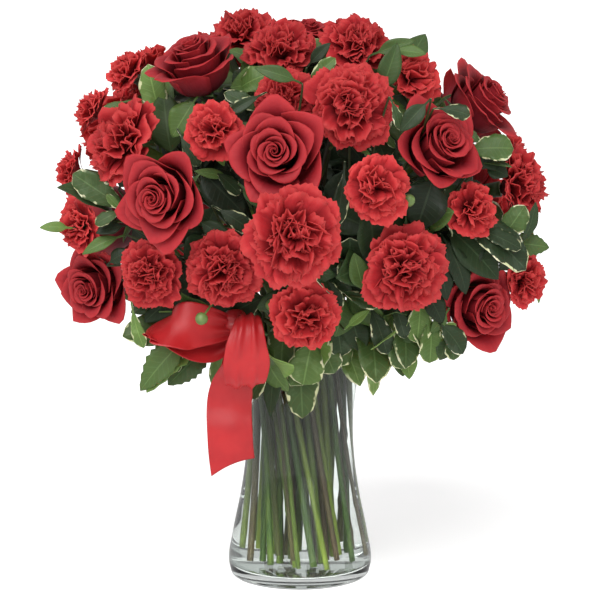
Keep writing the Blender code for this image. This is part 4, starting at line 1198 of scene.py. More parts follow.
# Leafy shoots between and under the blooms: end of the shoot (mm), the way that it points,
# number of leaves, their length (mm) and kind.
SHOOTS = (
    ((73, -80, 239), (0, -0.4, -0.7), 5, 42, "plain"),
    ((35, -92, 249), (0, -0.6, -0.3), 5, 40, "plain"),
    ((-30, -80, 216), (-0.2, -0.4, -0.9), 4, 52, "plain"),
    ((-67, -85, 235), (-0.4, -0.5, -0.4), 4, 44, "plain"),
    ((-184, -40, 298), (-1, -0.3, 0), 4, 32, "edged"),
    ((-53, -90, 408), (-0.1, -0.8, 0.5), 3, 34, "edged"),
    ((22, -60, 430), (0, -0.6, 0.8), 4, 34, "edged"),
    ((-33, -50, 427), (-0.1, -0.6, 0.8), 4, 36, "plain"),
    ((180, -30, 279), (1, -0.3, 0.1), 3, 26, "plain"),
    ((40, -105, 277), (0, -1, 0), 4, 40, "edged"),
    ((23, -110, 317), (0, -1, 0.1), 4, 40, "plain"),
    ((56, -100, 381), (0.1, -1, 0.3), 3, 34, "edged"),
    ((-74, -90, 297), (-0.3, -0.9, -0.1), 4, 36, "plain"),
    ((-40, -100, 378), (-0.1, -1, 0.3), 3, 34, "plain"),
    ((94, -95, 313), (0.2, -0.9, 0.1), 4, 46, "plain"),
    ((113, -90, 332), (0.3, -0.8, 0.2), 4, 44, "plain"),
    ((-166, -30, 243), (-1, -0.3, -0.2), 3, 34, "plain"),
)


# Leaves that show one by one: where the blade's base and its tip lie in the picture (pixels), depth
# of the tip (mm, negative towards the camera), width (mm), azimuth that it faces, tone from 0 (dark)
# to 1 (light), which is partly the leaf's own green and partly painted shade deep among the blooms, kind.
SINGLE_LEAVES = (
    # Upper left.
    ((166, 122), (147, 65), -78, 23, -20, 0.85, "edged"),
    ((193, 104), (172, 137), -104, 23, -10, 0.75, "plain"),
    ((182, 137), (199, 166), -112, 12, 0, 0.30, "edged"),
    ((224, 176), (195, 171), -116, 8, 10, 0.75, "plain"),
    ((217, 149), (224, 166), -112, 8, 0, 0.90, "plain"),
    ((218, 175), (240, 193), -118, 12, 10, 0.25, "edged"),
    ((125, 103), (99, 113), -70, 8, -30, 0.60, "edged"),
    # Left.
    ((123, 206), (73, 174), -84, 22, -20, 0.50, "edged"),
    ((122, 210), (107, 195), -94, 7, -10, 0.75, "edged"),
    ((120, 213), (95, 223), -90, 11, -10, 0.45, "edged"),
    ((121, 227), (96, 232), -84, 11, -20, 0.05, "plain"),
    ((116, 239), (82, 253), -78, 11, -30, 0.72, "plain"),
    ((66, 228), (40, 227), -72, 9, -40, 0.85, "plain"),
    # Top.
    ((248, 80), (245, 53), -84, 8, -10, 0.80, "plain"),
    ((292, 80), (256, 67), -150, 12, 0, 0.50, "plain"),
    ((263, 113), (225, 92), -118, 13, 0, 0.40, "edged"),
    ((258, 97), (229, 113), -120, 10, 0, 0.25, "edged"),
    ((310, 84), (334, 58), -108, 12, 10, 0.75, "edged"),
    ((312, 62), (330, 43), -92, 10, 0, 0.10, "plain"),
    ((380, 52), (414, 40), -92, 12, 20, 0.55, "plain"),
    ((398, 52), (426, 54), -88, 11, 30, 0.65, "plain"),
    ((382, 86), (398, 44), -82, 18, 10, 0.45, "plain"),
    # Upper right.
    ((392, 104), (401, 129), -132, 8, 20, 0.40, "edged"),
    ((424, 106), (400, 131), -160, 14, 0, 0.22, "plain"),
    ((442, 110), (470, 115), -134, 14, 30, 0.25, "edged"),
    ((444, 112), (460, 130), -92, 13, 20, 0.30, "edged"),
    ((480, 143), (463, 130), -86, 8, 20, 0.50, "edged"),
    ((472, 151), (513, 147), -84, 24, 20, 0.58, "edged"),
    ((355, 146), (371, 155), -142, 5, 0, 0.80, "plain"),
    ((382, 133), (395, 147), -138, 6, 10, 0.60, "edged"),
    # Right.
    ((432, 182), (416, 231), -122, 34, 10, 0.03, "plain"),
    ((343, 176), (337, 226), -152, 13, 0, 0.10, "edged"),
    ((478, 231), (521, 249), -94, 17, 30, 0.20, "edged"),
    ((498, 238), (525, 206), -78, 22, 40, 0.55, "edged"),
    ((512, 245), (549, 246), -62, 20, 40, 0.55, "serrated"),
    ((447, 247), (469, 293), -100, 20, 20, 0.08, "plain"),
    ((531, 279), (541, 302), -38, 9, 40, 0.90, "plain"),
    ((362, 287), (354, 253), -138, 16, 0, 0.65, "plain"),
    # Collar, to the right of the middle.
    ((420, 300), (417, 343), -98, 21, 20, 0.80, "edged"),
    ((393, 304), (406, 338), -104, 13, 10, 0.15, "edged"),
    ((440, 326), (465, 352), -90, 20, 30, 0.25, "edged"),
    ((404, 350), (410, 379), -80, 16, 10, 0.85, "plain"),
    ((439, 334), (455, 324), -94, 8, 20, 0.90, "edged"),
    ((445, 314), (431, 333), -96, 10, 20, 0.60, "plain"),
    ((371, 311), (388, 354), -104, 18, 10, 0.15, "edged"),
    ((350, 325), (369, 310), -112, 8, 0, 0.85, "plain"),
    ((344, 293), (377, 307), -122, 12, 0, 0.40, "edged"),
    ((321, 277), (340, 310), -134, 15, 0, 0.12, "edged"),
    # Collar, in the middle.
    ((312, 342), (303, 385), -96, 29, 0, 0.72, "edged"),
    ((318, 342), (335, 373), -90, 21, 10, 0.55, "edged"),
    ((266, 371), (251, 399), -84, 13, -10, 0.45, "edged"),
    ((352, 350), (337, 362), -84, 14, 0, 0.60, "edged"),
    ((286, 299), (257, 308), -128, 17, 0, 0.35, "plain"),
    # Collar, to the left of the middle.
    ((181, 352), (175, 372), -98, 11, -20, 0.55, "edged"),
    ((208, 348), (168, 385), -96, 25, -10, 0.42, "serrated"),
    ((134, 312), (143, 348), -104, 11, -30, 0.80, "edged"),
    ((164, 336), (134, 341), -106, 14, -20, 0.55, "plain"),
    ((194, 286), (143, 320), -100, 28, -10, 0.15, "plain"),
    # Between the blooms.
    ((244, 189), (263, 208), -134, 11, 0, 0.50, "plain"),
    ((221, 211), (252, 230), -132, 14, 0, 0.15, "edged"),
    ((203, 224), (234, 244), -126, 15, 0, 0.30, "plain"),
    ((203, 174), (244, 214), -108, 30, 0, 0.05, "plain"),
    ((252, 170), (214, 200), -104, 26, 0, 0.06, "edged"),
    ((152, 288), (139, 313), -90, 20, -20, 0.10, "plain"),
    ((522, 238), (537, 203), -50, 12, 40, 0.30, "plain"),
    ((426, 296), (444, 322), -84, 20, 20, 0.10, "plain"),
    ((121, 186), (128, 170), -84, 12, -20, 0.10, "plain"),
    ((180, 262), (184, 280), -110, 12, 0, 0.08, "plain"),
    ((112, 262), (130, 250), -80, 14, -20, 0.10, "plain"),
    ((240, 288), (194, 310), -98, 25, 0, 0.12, "plain"),
    ((264, 298), (222, 317), -94, 22, 0, 0.25, "edged"),
    ((172, 288), (130, 303), -90, 22, -20, 0.12, "plain"),
    ((450, 232), (500, 278), -90, 32, 20, 0.20, "plain"),
    ((434, 258), (449, 300), -104, 18, 20, 0.05, "plain"),
    ((462, 262), (486, 244), -84, 17, 20, 0.08, "plain"),
    ((500, 268), (516, 250), -60, 14, 30, 0.15, "plain"),
    ((476, 148), (500, 170), -76, 22, 20, 0.10, "plain"),
    ((150, 306), (131, 312), -92, 12, -20, 0.30, "plain"),
    ((240, 196), (252, 226), -70, 26, 0, 0.05, "plain"),
    ((488, 168), (508, 176), -70, 16, 20, 0.10, "plain"),
    ((186, 290), (204, 304), -80, 20, 0, 0.05, "plain"),
    ((134, 230), (152, 242), -60, 16, -10, 0.10, "plain"),
    ((392, 98), (408, 108), -100, 12, 20, 0.10, "plain"),
    ((342, 136), (362, 160), -90, 24, 0, 0.05, "plain"),
    ((348, 284), (364, 296), -110, 12, 0, 0.08, "plain"),
    # Collar leaves that overlap those of the CAD.
    ((429, 320), (431, 363), -90, 21, 20, 0.72, "edged"),
    ((397, 324), (404, 369), -94, 24, 10, 0.52, "edged"),
    ((450, 334), (440, 360), -82, 17, 20, 0.40, "plain"),
    ((352, 318), (362, 352), -88, 22, 0, 0.30, "plain"),
    ((398, 350), (404, 376), -80, 16, 10, 0.50, "plain"),
    ((448, 338), (454, 360), -84, 14, 20, 0.50, "edged"),
    ((182, 344), (139, 390), -100, 24, -15, 0.62, "serrated"),
    ((336, 322), (342, 356), -86, 20, 0, 0.35, "edged"),
)
# Tones of the leaves that the CAD names, in the order in which it places them.
NAMED_TONES = (0.50, 0.25, 0.60, 0.55, 0.50, 0.70, 0.85, 0.45, 0.50, 0.65, 0.40, 0.18, 0.50, 0.50)
# Radii of the twigs where they leave their stem and at their end.
SHOOT_TWIG = (1.3 * MM, 0.9 * MM)
LEAF_TWIG = (1.2 * MM, 0.8 * MM)
TWIG_TINTS = (0.3, 0.4)
PICTURE = 600  # pixels across and down the photograph
SENSOR = 36  # the camera's sensor (mm)


def seen_at(place, depth):
    """The point at a depth (its y) that the camera sees at a place in the picture."""
    step = SENSOR / CAMERA_LENS / PICTURE
    right, up = (place[0] - PICTURE / 2) * step, (PICTURE / 2 - place[1]) * step
    c, s = math.cos(CAMERA_PITCH), math.sin(CAMERA_PITCH)
    eye = np.array(CAMERA_TARGET) + CAMERA_DISTANCE * np.array((0, -c, s))
    ray = np.array((right, c + s * up, c * up - s))
    return eye + ray * (depth - eye[1]) / ray[1]


BASE_BEHIND = 5 * MM  # how much farther from the camera a single leaf's base lies than its tip
DEPTH_STEP = 3 * MM  # it moves to and fro by this much until it fits


def single_leaves(random):
    """The leaves of SINGLE_LEAVES with their tones, and the twigs that carry them."""
    leaves, twigs = [], []
    for base, tip, depth, width, azimuth, tone, kind in SINGLE_LEAVES:
        turn = random.uniform(-0.15, 0.15, 3)
        for attempt in range(16):
            step = (attempt + 1) // 2 * (-1 if attempt % 2 else 1)
            level = depth * MM + step * DEPTH_STEP
            start, end = seen_at(base, level + BASE_BEHIND), seen_at(tip, level)
            root = start - (end - start) * Leaf.STALK / (1 - Leaf.STALK)
            inside = root + (HEART - root) * 0.25
            anchor, bunch = nearest_stem(inside, TWIG_JOINT)
            arch = np.linalg.norm(end - root) * 0.07
            leaf = Leaf(root, end, width * MM, facing(azimuth, 20) + turn, arch, bunch, kind)
            if clear_for_show(leaf):
                leaves.append((leaf, tone))
                bend = (root - anchor) * 0.6
                line = route((anchor, root), bend + (0, 0, 5 * MM), leaf.along * 7 * MM, 12)
                twigs.append(even_tube(line, *LEAF_TWIG, 6, TWIG_TINTS))
                break
    return leaves, twigs


def clear_for_show(leaf):
    """True if a leaf cuts no bloom, no glass and no ribbon."""
    points = leaf.samples()
    if room_round_blooms(points[Leaf.STALK_SAMPLES :]).min() < -1.0 * MM or not vase_clear_of(points):
        return False
    return least_distance(points, BOW_POINTS) > 3 * MM


def shoot_leaves(random):
    """Leaves in whorls round the ends of the shoots, and the twigs that bear them."""
    leaves, twigs = [], []
    for place, way, count, length, kind in SHOOTS:
        end, way = np.array(place) * MM, unit(np.array(way, float))
        root, bunch = nearest_stem(end - way * 26 * MM, TWIG_JOINT)
        right = unit(np.cross(way, (0.3, 0.1, 1.0)))
        up = np.cross(right, way)
        before = len(leaves)
        for step in range(count):
            for attempt in range(14):
                out = way_round(step * 2 * math.pi / count + random.uniform(-0.5, 0.5), right, up)
                lean = math.radians(random.uniform(22, 72))
                along = way_round(lean, way, out)
                size = length * MM * random.uniform(0.8, 1.12) * (1 - 0.025 * attempt)
                start = end - way * random.uniform(0, 9) * MM
                normal = way_round(lean, -out, way) + 0.25 * random.uniform(-1, 1, 3)
                wide = size * random.uniform(0.56, 0.72) * (0.85 if kind == "serrated" else 1)
                leaf = Leaf(start, start + along * size, wide, normal, size * 0.1, bunch, kind)
                if clear_for_show(leaf):
                    leaves.append(leaf)
                    break
        if len(leaves) > before:
            line = route((root, end), (end - root) * 0.6 + (0, 0, 10 * MM), way * 24 * MM, 14)
            twigs.append(even_tube(line, *SHOOT_TWIG, 8, TWIG_TINTS))
    return leaves, twigs


INNER_LEAVES = 270
INNER_TRIES = 1600
GOLDEN_SHARE = 0.618034  # spreads the heights evenly, however many leaves there are
INNER_DEPTHS = (0.50, 0.92)  # where their tips lie, as shares of the dome's half axes
INNER_LENGTHS = (46, 66)  # mm
INNER_SPANS = (34 * MM, 84 * MM)  # from root to tip, once the nearest stem is found
INNER_PAINTED_SHADE = 0.75  # painted shade: the inner leaves' tone, as a share of an outer leaf's


def filler_leaves(random, most):
    """Leaves behind the blooms, over the whole dome, which close the gaps between them; their darkness is
    painted shade.
    """
    leaves = []
    for number in range(INNER_TRIES):
        if len(leaves) >= most:
            break
        out = dome_way(number, 1 - ((number * GOLDEN_SHARE) % 1.0) * 1.42)
        tip = DOME_CENTRE + out * DOME_AXES * random.uniform(*INNER_DEPTHS)
        size = random.uniform(*INNER_LENGTHS) * MM
        start = tip - unit(out + 1.1 * random.uniform(-1, 1, 3)) * size
        root, bunch = nearest_stem(start, ANY_JOINT)
        if not INNER_SPANS[0] < np.linalg.norm(tip - root) < INNER_SPANS[1]:
            continue
        normal = unit(out + 0.5 * random.uniform(-1, 1, 3) + np.array((0, -0.1, 0.3)))
        kind = "edged" if len(leaves) % 4 == 0 else "plain"
        leaf = Leaf(root, tip, size * random.uniform(0.5, 0.66), normal, size * 0.12, bunch, kind)
        if clear_for_show(leaf):
            leaves.append(leaf)
    return leaves


def smooth_stem_points():
    """Points close together along every stem that shows, with its bunch's number."""
    lines = [
        (np.vstack((np.linspace(stem.foot, stem.rim, 60)[30:], stem.upper(60))), stem.bunch)
        for stem in STEMS
    ]
    lines += [(pedicel(bloom, STEMS, 40), bloom.bunch) for bloom in BLOOMS if bloom.kind == "mini"]
    owners = [np.full(len(line), BUNCH_NAMES.index(bunch)) for line, bunch in lines]
    return np.vstack([line for line, _ in lines]), np.concatenate(owners)


def snapped(leaf, points, owners):
    """The leaf with its root on the smooth stem nearest to it."""
    own = np.flatnonzero(owners == leaf.bunch)
    root = points[own[np.linalg.norm(points[own] - leaf.root, axis=1).argmin()]]
    return Leaf(root, leaf.tip, leaf.width, leaf.normal, leaf.arch, leaf.bunch, leaf.kind)


GREENERY_SEED = 31


def dress_greenery(looks):
    random = np.random.default_rng(GREENERY_SEED)
    points, owners = smooth_stem_points()
    own = [snapped(leaf, points, owners) for leaf in all_leaves()]
    tones = [*NAMED_TONES, *(tone_and_shade_by_depth(leaf, random) for leaf in own[len(NAMED_TONES) :])]
    whorls, twigs = shoot_leaves(random)
    singles, more_twigs = single_leaves(random)
    shown = [*zip(own, tones), *((leaf, tone_and_shade_by_depth(leaf, random)) for leaf in whorls), *singles]
    inner = [snapped(leaf, points, owners) for leaf in filler_leaves(random, INNER_LEAVES)]
    # Painted shade: the inner leaves are darker still.
    inner = [(leaf, INNER_PAINTED_SHADE * tone_and_shade_by_depth(leaf, random)) for leaf in inner]
    for bunch in BUNCHES:
        stalks = [stem_mesh(stem, k) for k, stem in enumerate(STEMS) if stem.bunch == bunch]
        members = [(k, bloom) for k, bloom in enumerate(BLOOMS) if bloom.bunch == bunch]
        stalks += [pedicel_mesh(bloom, k) for k, bloom in members if bloom.kind == "mini"]
        add("stalks_" + bunch, gathered(stalks), looks["stem"], "greenery", ["stems_" + bunch])
        sepals = [sepal_meshes(bloom, random) for _, bloom in members if bloom.kind == "rose"]
        if sepals:
            add("sepals_" + bunch, gathered(sepals), looks["plain"], "greenery")
    for name, rows, size in (("leaves_", shown, LEAF_GRID), ("inner_leaves_", inner, INNER_GRID)):
        for kind in sorted({leaf.kind for leaf, _ in rows}):
            made = [leaf_grid(leaf, tone, size, random) for leaf, tone in rows if leaf.kind == kind]
            grids, paint = (np.array(part) for part in zip(*made))
            add(name + kind, closed_sheets(grids, BLADE_THICKNESS, paint), looks[kind], "greenery")
    add("twigs", gathered(twigs + more_twigs), looks["stem"], "greenery")
    dress_buds(looks["bud"])


def dress_buds(look):
    parts = []
    for middle, near in BUDS:
        middle = np.array(middle) * MM
        root, _ = nearest_stem(np.array(near) * MM, BUD_JOINT)
        bend = middle - root
        line = route((root, middle), bend * 0.7 - (0, 0, 8 * MM), bend * 0.8, 14)
        parts.append(even_tube(line, BUD_STALK, BUD_STALK, 8, (0.3, 0.2)))
        shares = np.linspace(-0.98, 0.98, 13)
        radii = BUD_RADIUS * np.sqrt(1 - shares**2) * (1 - 0.12 * shares)
        parts.append(tube_mesh(middle + shares[:, None] * BUD_RADIUS * unit(bend), radii, 16, (0.6, 0.9)))
    add("buds", gathered(parts), look, "greenery")


# Vase and water.


TURNED_SIDES = 64
FOOT_ROUND = 3 * MM  # radius of the foot's outer edge
FOOT_TUCK = 1.6 * MM  # how far the foot stands in from the wall over it
FOOT_HOLLOW = 0.7 * MM
BOWL_ROUND = 5 * MM  # radius of the inner corner between wall and floor
WATER_OVERLAP = 0.15 * MM  # the water reaches a little into the glass, so that no air shows between
# The water's edge on the glass and its meniscus: how far out and up (mm).
MENISCUS = ((0.15, 0.0), (-1.2, -0.6), (-5.0, -0.8))


def turned_piece(name, outline, look):
    """A closed smooth solid turned round the upright axis, from radii and heights."""
    outline = np.array(outline)
    angles = np.arange(TURNED_SIDES) * 2 * math.pi / TURNED_SIDES
    ring = np.stack((np.cos(angles), np.sin(angles), np.ones(TURNED_SIDES)), 1)
    points = (outline[:, None, (0, 0, 1)] * ring).reshape(-1, 3)
    ends = np.array(((0, 0, outline[0, 1]), (0, 0, outline[-1, 1])))
    return new_piece(name, np.concatenate((points, ends)), skin(len(outline), TURNED_SIDES), look)


def smooth_radius(heights):
    """The vase's outer radius, rounded between the heights at which it is measured."""
    z, r = np.array(VASE_OUTLINE).T * MM
    slopes = np.gradient(r, z)
    k = np.clip(np.searchsorted(z, heights, side="right") - 1, 0, len(z) - 2)
    gap = z[k + 1] - z[k]
    return hermite((heights - z[k]) / gap, r[k], r[k + 1], gap * slopes[k], gap * slopes[k + 1])


def dress_vase(glass, water):
    lip = VASE_WALL / 2
    heights = np.linspace(10 * MM, VASE_HEIGHT - lip, 44)
    outer = smooth_radius(heights)
    foot, top = outer[0], outer[-1]
    outline = [(0.93 * foot - FOOT_ROUND, FOOT_HOLLOW), (foot - FOOT_ROUND - 3 * MM, 0.0)]
    for a in np.linspace(0, math.pi / 2, 7):
        edge = foot - FOOT_TUCK - FOOT_ROUND * (1 - math.sin(a))
        outline.append((edge, FOOT_ROUND * (1 - math.cos(a))))
    outline += list(zip(outer, heights))
    for a in np.linspace(0, math.pi, 9)[1:-1]:
        outline.append((top - lip + lip * math.cos(a), VASE_HEIGHT - lip + lip * math.sin(a)))
    walls = zip(outer[::-1] - VASE_WALL, heights[::-1])
    inner = [(r, z) for r, z in walls if z > VASE_FLOOR + BOWL_ROUND]
    wide, start = inner[-1][0] - BOWL_ROUND, inner[-1][1]
    for a in np.linspace(0, math.pi / 2, 8)[1:]:
        inner.append((wide + BOWL_ROUND * math.cos(a), start - (start - VASE_FLOOR) * math.sin(a)))
    vase = place(turned_piece("glass_vase", outline + inner, glass), ["vase"], "clear_glass")
    wet = [(r + WATER_OVERLAP, z) for r, z in inner if z < WATER_LEVEL - 1 * MM][::-1]
    wet = [(wet[0][0], VASE_FLOOR - WATER_OVERLAP), *wet[1:]]
    edge = smooth_radius(np.array((WATER_LEVEL,)))[0] - VASE_WALL
    wet += [(edge + out * MM, WATER_LEVEL + up * MM) for out, up in MENISCUS]
    fill = place(turned_piece("water_fill", wet, water), ["water"], "water")
    for clear in (vase, fill):
        clear.visible_shadow = False  # light passes through clear glass and water


# Bow.


def through(places, count):
    """A smooth curve (Catmull-Rom) through rows of numbers."""
    rows = np.array(places, float)
    ends = np.vstack((2 * rows[0] - rows[1], rows, 2 * rows[-1] - rows[-2]))
    t = np.linspace(0, len(rows) - 1 - 1e-9, count)
    k = t.astype(int)
    t = (t - k)[:, None]
    a, b, c, d = ends[k], ends[k + 1], ends[k + 2], ends[k + 3]
    bend = 2 * a - 5 * b + 4 * c - d
    twist = 3 * b - a - 3 * c + d
    return 0.5 * (2 * b + (c - a) * t + bend * t**2 + twist * t**3)


BAND_NAMES = ("bow_side_loop", "bow_front_loop", "bow_tail")
TAIL = 2  # the last band hangs free, and the others are loops
# Points along and across each band.
BAND_ROWS = 72
BAND_COLUMNS = 25
RIBBON_SHEET = 0.4 * MM
KNOT_RINGS = 17
KNOT_SIDES = 48
KNOT_REACH = 0.97  # height of the last ring, and that of the knot's ends, as shares of its half height
KNOT_END = 0.98
# The soft ridges along each band: height (mm), and place and width across it (from -1 to 1).
BAND_RIDGES = (
    ((1.2, -0.1, 0.9),),
    ((2.9, -0.42, 0.17), (2.9, 0.36, 0.15), (2.0, 0.0, 0.9)),
    ((1.8, 0.15, 0.6),),
)
TAIL_SLANT = 0.056  # how much shorter the tail is on its inner side, as a share of its length
TAIL_HOLLOW = 0.018  # how far its cut end curves in
PLEAT_HEIGHT = 1.5 * MM
FOLD_CALM = 0.85  # how much lower the ridges are where a loop turns back
FOLD_REACH = 0.06  # how far that reaches to either side, as a share of the band
TAIL_WAVE = 1.6 * MM  # the tail hangs in shallow waves, so that the light runs over it in bands
TAIL_WAVE_LENGTH = 46 * MM
TAIL_BRIGHT = 153.6 * MM  # height of one of the bright bands


def band_grid(band, number):
    """A band of ribbon as a grid, pleated where it goes into the knot."""
    fine = through([(*p, w, *unit(np.array(a, float))) for p, w, a in band], BAND_ROWS)
    middle, width, across = fine[:, :3] * MM, fine[:, 3] * MM, fine[:, 4:]
    along = units(np.gradient(middle, axis=0))
    across = units(across - np.sum(across * along, 1)[:, None] * along)
    rise = np.cross(along, across)
    u = np.linspace(-1, 1, BAND_COLUMNS)[:, None]
    gather = 1 - ease(8 * MM, 34 * MM, np.linalg.norm(middle - np.array(KNOT) * MM, axis=1))
    lift = PLEAT_HEIGHT * gather * np.sin(u * 2.6 * math.pi + 0.6) * (1 - 0.25 * np.abs(u))
    steps = np.linspace(0, 1, BAND_ROWS)
    calm = 1 if number == TAIL else 1 - FOLD_CALM * np.exp(-(((steps - 0.5) / FOLD_REACH) ** 2))
    for height, where, wide in BAND_RIDGES[number]:
        lift = lift + height * MM * np.exp(-(((u - where) / wide) ** 2)) * (1 - 0.6 * gather) * calm
    if number == TAIL:
        drop = TAIL_BRIGHT - middle[:, 2]
        lift = lift + TAIL_WAVE * np.sin(2 * math.pi * drop / TAIL_WAVE_LENGTH) * (1 - gather)
    grid = middle + (u * width / 2)[..., None] * across + lift[..., None] * rise
    if number == TAIL:
        share = 0.5 + 0.5 * u[:, 0]
        stop = 1 - TAIL_SLANT * share - TAIL_HOLLOW * np.sin(math.pi * share)
        cut = [[np.interp(steps * end, steps, axis) for axis in line.T] for line, end in zip(grid, stop)]
        grid = np.array(cut).transpose(0, 2, 1)
    return grid


def knot_mesh():
    """The ribbon's knot: a soft ball of stacked rings, pleated by the folds that meet in it."""
    centre, size = np.array(KNOT) * MM, np.array(KNOT_SIZE) * MM
    around = np.linspace(0, 2 * math.pi, KNOT_SIDES + 1)[:-1]
    share = np.linspace(-KNOT_REACH, KNOT_REACH, KNOT_RINGS)[:, None]
    wide = np.sqrt(1 - share * share) * (1 + 0.06 * np.sin(9 * share + 3 * np.sin(around)))
    rings = np.stack((wide * np.cos(around), wide * np.sin(around), share + 0 * wide), 2) * size + centre
    ends = np.array((centre - size * (0, 0, KNOT_END), centre + size * (0, 0, KNOT_END)))
    points = np.concatenate((rings.reshape(-1, 3), ends))
    return points, skin(KNOT_RINGS, KNOT_SIDES), np.full((len(points), 4), 0.5)


def dress_bow(satin, wood):
    for number, (name, band) in enumerate(zip(BAND_NAMES, BANDS)):
        grid = band_grid(band, number)
        across = np.linspace(0, 1, BAND_COLUMNS)[:, None]
        paint = grid_paint(BAND_COLUMNS, BAND_ROWS, np.linspace(0, 1, BAND_ROWS), across)
        mesh = closed_sheets(grid[None], RIBBON_SHEET, paint[None])
        piece = add(name, mesh, satin, "red_satin", ["bow"] if number == 0 else [])
    add("bow_knot", knot_mesh(), satin, "red_satin")
    start, end = (np.array(p) * MM for p in PICK)
    shares = np.linspace(0, 1, PICK_STEPS)
    radii = PICK_RADIUS * np.minimum(1, 0.2 + 8 * (1 - shares))
    mesh = tube_mesh(start + shares[:, None] * (end - start), radii, 12, (0.5, 0.5))
    add("bow_pick", mesh, wood, "pick_wood", ["pick"])


# Materials.


class Look:
    """A material under construction: nodes are added by type and joined by socket name."""

    def __init__(self, name):
        self.material = bpy.data.materials.new(name)
        self.material.use_nodes = True
        self.tree = self.material.node_tree
        self.shader = self.tree.nodes["Principled BSDF"]

    def add(self, kind, inputs=None, **settings):
        node = self.tree.nodes.new("ShaderNode" + kind)
        for key, value in settings.items():
            setattr(node, key, value)
        for key, value in (inputs or {}).items():
            self.set(node, key, value)
        return node

    def set(self, node, key, value):
        socket = node.inputs[key]
        if isinstance(value, bpy.types.NodeSocket):
            self.tree.links.new(value, socket)
        elif isinstance(value, tuple) and len(value) == 3 and socket.type == "RGBA":
            socket.default_value = (*value, 1.0)
        else:
            socket.default_value = value

    def set_all(self, **values):
        for key, value in values.items():
            self.set(self.shader, key.replace("_", " "), value)

    def math(self, operation, a, b=0.0):
        return self.add("Math", {0: a, 1: b, 2: 0.0}, operation=operation).outputs[0]

    def times(self, a, b):
        return self.math("MULTIPLY", a, b)

    def plus(self, a, b):
        return self.math("ADD", a, b)

    def minus(self, a, b):
        return self.math("SUBTRACT", a, b)

    def larger(self, a, b):
        return self.math("MAXIMUM", a, b)

    def mix(self, share, a, b, blend="MIX"):
        node = self.add("Mix", data_type="RGBA", blend_type=blend)
        self.set(node, 0, share)
        self.set(node, 6, a)
        self.set(node, 7, b)
        return node.outputs[2]

    def tinted(self, colour, tint, lift=None):
        """The colour times a tint, with a little light added to it."""
        colour = self.mix(1.0, colour, tint, "MULTIPLY")
        return colour if lift is None else self.mix(1.0, colour, lift, "ADD")

    def mask(self, value, low, high, full=1.0):
        """Nothing where the value is low, and full where it is high."""
        return self.ramp(value, (low, (0.0, 0.0, 0.0)), (high, (full, full, full)))

    def ramp(self, value, *stops):
        node = self.add("ValToRGB", {0: value})
        marks = node.color_ramp.elements
        marks[0].position, marks[0].color = stops[0][0], (*stops[0][1], 1.0)
        marks[1].position, marks[1].color = stops[-1][0], (*stops[-1][1], 1.0)
        for position, colour in stops[1:-1]:
            marks.new(position).color = (*colour, 1.0)
        return node.outputs[0]

    def noise(self, scale, detail=3.0, vector=None, roughness=0.5):
        node = self.add("TexNoise", {"Scale": scale, "Detail": detail, "Roughness": roughness})
        where = vector if vector is not None else self.add("TexCoord").outputs["Object"]
        self.set(node, "Vector", where)
        return node.outputs[0]

    def paint(self):
        node = self.add("Attribute", attribute_name="paint")
        parts = self.add("SeparateColor", {0: node.outputs["Color"]})
        return parts.outputs[0], parts.outputs[1], parts.outputs[2], node.outputs["Alpha"]

    def bump(self, height, distance, strength=1.0, normal=None):
        node = self.add("Bump", {"Height": height, "Distance": distance, "Strength": strength})
        if normal is not None:
            self.set(node, "Normal", normal)
        return node.outputs[0]


WHITE = (1.0, 1.0, 1.0)
# Colours of the petals from their base to their rim: their own red, with painted shade at the base, deep in
# the bloom, and a painted highlight on the rim.
ROSE_RED_AND_PAINTED_LIGHT = (
    (0.0, (0.050, 0.009, 0.014)),
    (0.5, (0.172, 0.012, 0.020)),
    (0.82, (0.292, 0.017, 0.025)),
    (1.0, (0.470, 0.033, 0.039)),
)
CARNATION_RED_AND_PAINTED_LIGHT = (
    (0.0, (0.095, 0.013, 0.018)),
    (0.5, (0.300, 0.018, 0.024)),
    (0.86, (0.460, 0.025, 0.031)),
    (1.0, (0.600, 0.058, 0.057)),
)
MINI_RED_AND_PAINTED_LIGHT = (
    (0.0, (0.120, 0.016, 0.021)),
    (0.5, (0.370, 0.024, 0.030)),
    (0.86, (0.560, 0.033, 0.038)),
    (1.0, (0.720, 0.072, 0.068)),
)

INNER_PETAL_SHADE = (0.72, 0.72, 0.72)  # painted shade: how much darker the inner petals are
PETAL_VEIN = (0.62, 0.50, 0.50)


def petal_look(name, colours, roughness, sheen, veins):
    look = Look(name)
    along, across, own, _ = look.paint()
    where = look.plus(along, look.times(look.minus(look.noise(55, 4), 0.5), 0.22))
    # Painted shade: the inner petals are darker.
    deep = look.ramp(own, (0.0, INNER_PETAL_SHADE), (1.0, WHITE))
    # The colour ramp paints shade at the petal's base and a highlight at its rim.
    colour = look.tinted(look.ramp(where, *colours), deep)
    lines = look.add("CombineXYZ", {0: look.times(across, veins), 1: look.times(along, 1.4)})
    vein = look.noise(1.0, 2, lines.outputs[0])
    grain = look.bump(look.noise(900, 2), 0.0002, 0.35)
    look.set_all(
        Base_Color=look.mix(look.times(vein, 0.30), colour, look.tinted(colour, PETAL_VEIN)),
        Roughness=roughness,
        Sheen_Weight=sheen,
        Sheen_Roughness=0.4,
        Sheen_Tint=(1.0, 0.12, 0.12),
        Subsurface_Weight=0.12,
        Subsurface_Scale=0.004,
        Subsurface_Radius=(1.0, 0.12, 0.10),
        Specular_IOR_Level=0.15,
        Normal=look.bump(vein, 0.0006, 0.5, grain),
    )
    return look.material


# Colours of the leaves by tone, from the darkest, which is painted shade inside the dome, to the lightest
# outside it.
LEAF_GREENS_AND_SHADE = (
    (0.05, (0.009, 0.014, 0.008)),
    (0.40, (0.028, 0.052, 0.018)),
    (0.75, (0.086, 0.152, 0.034)),
    (1.00, (0.185, 0.305, 0.066)),
)
CREAM = (0.58, 0.60, 0.34)


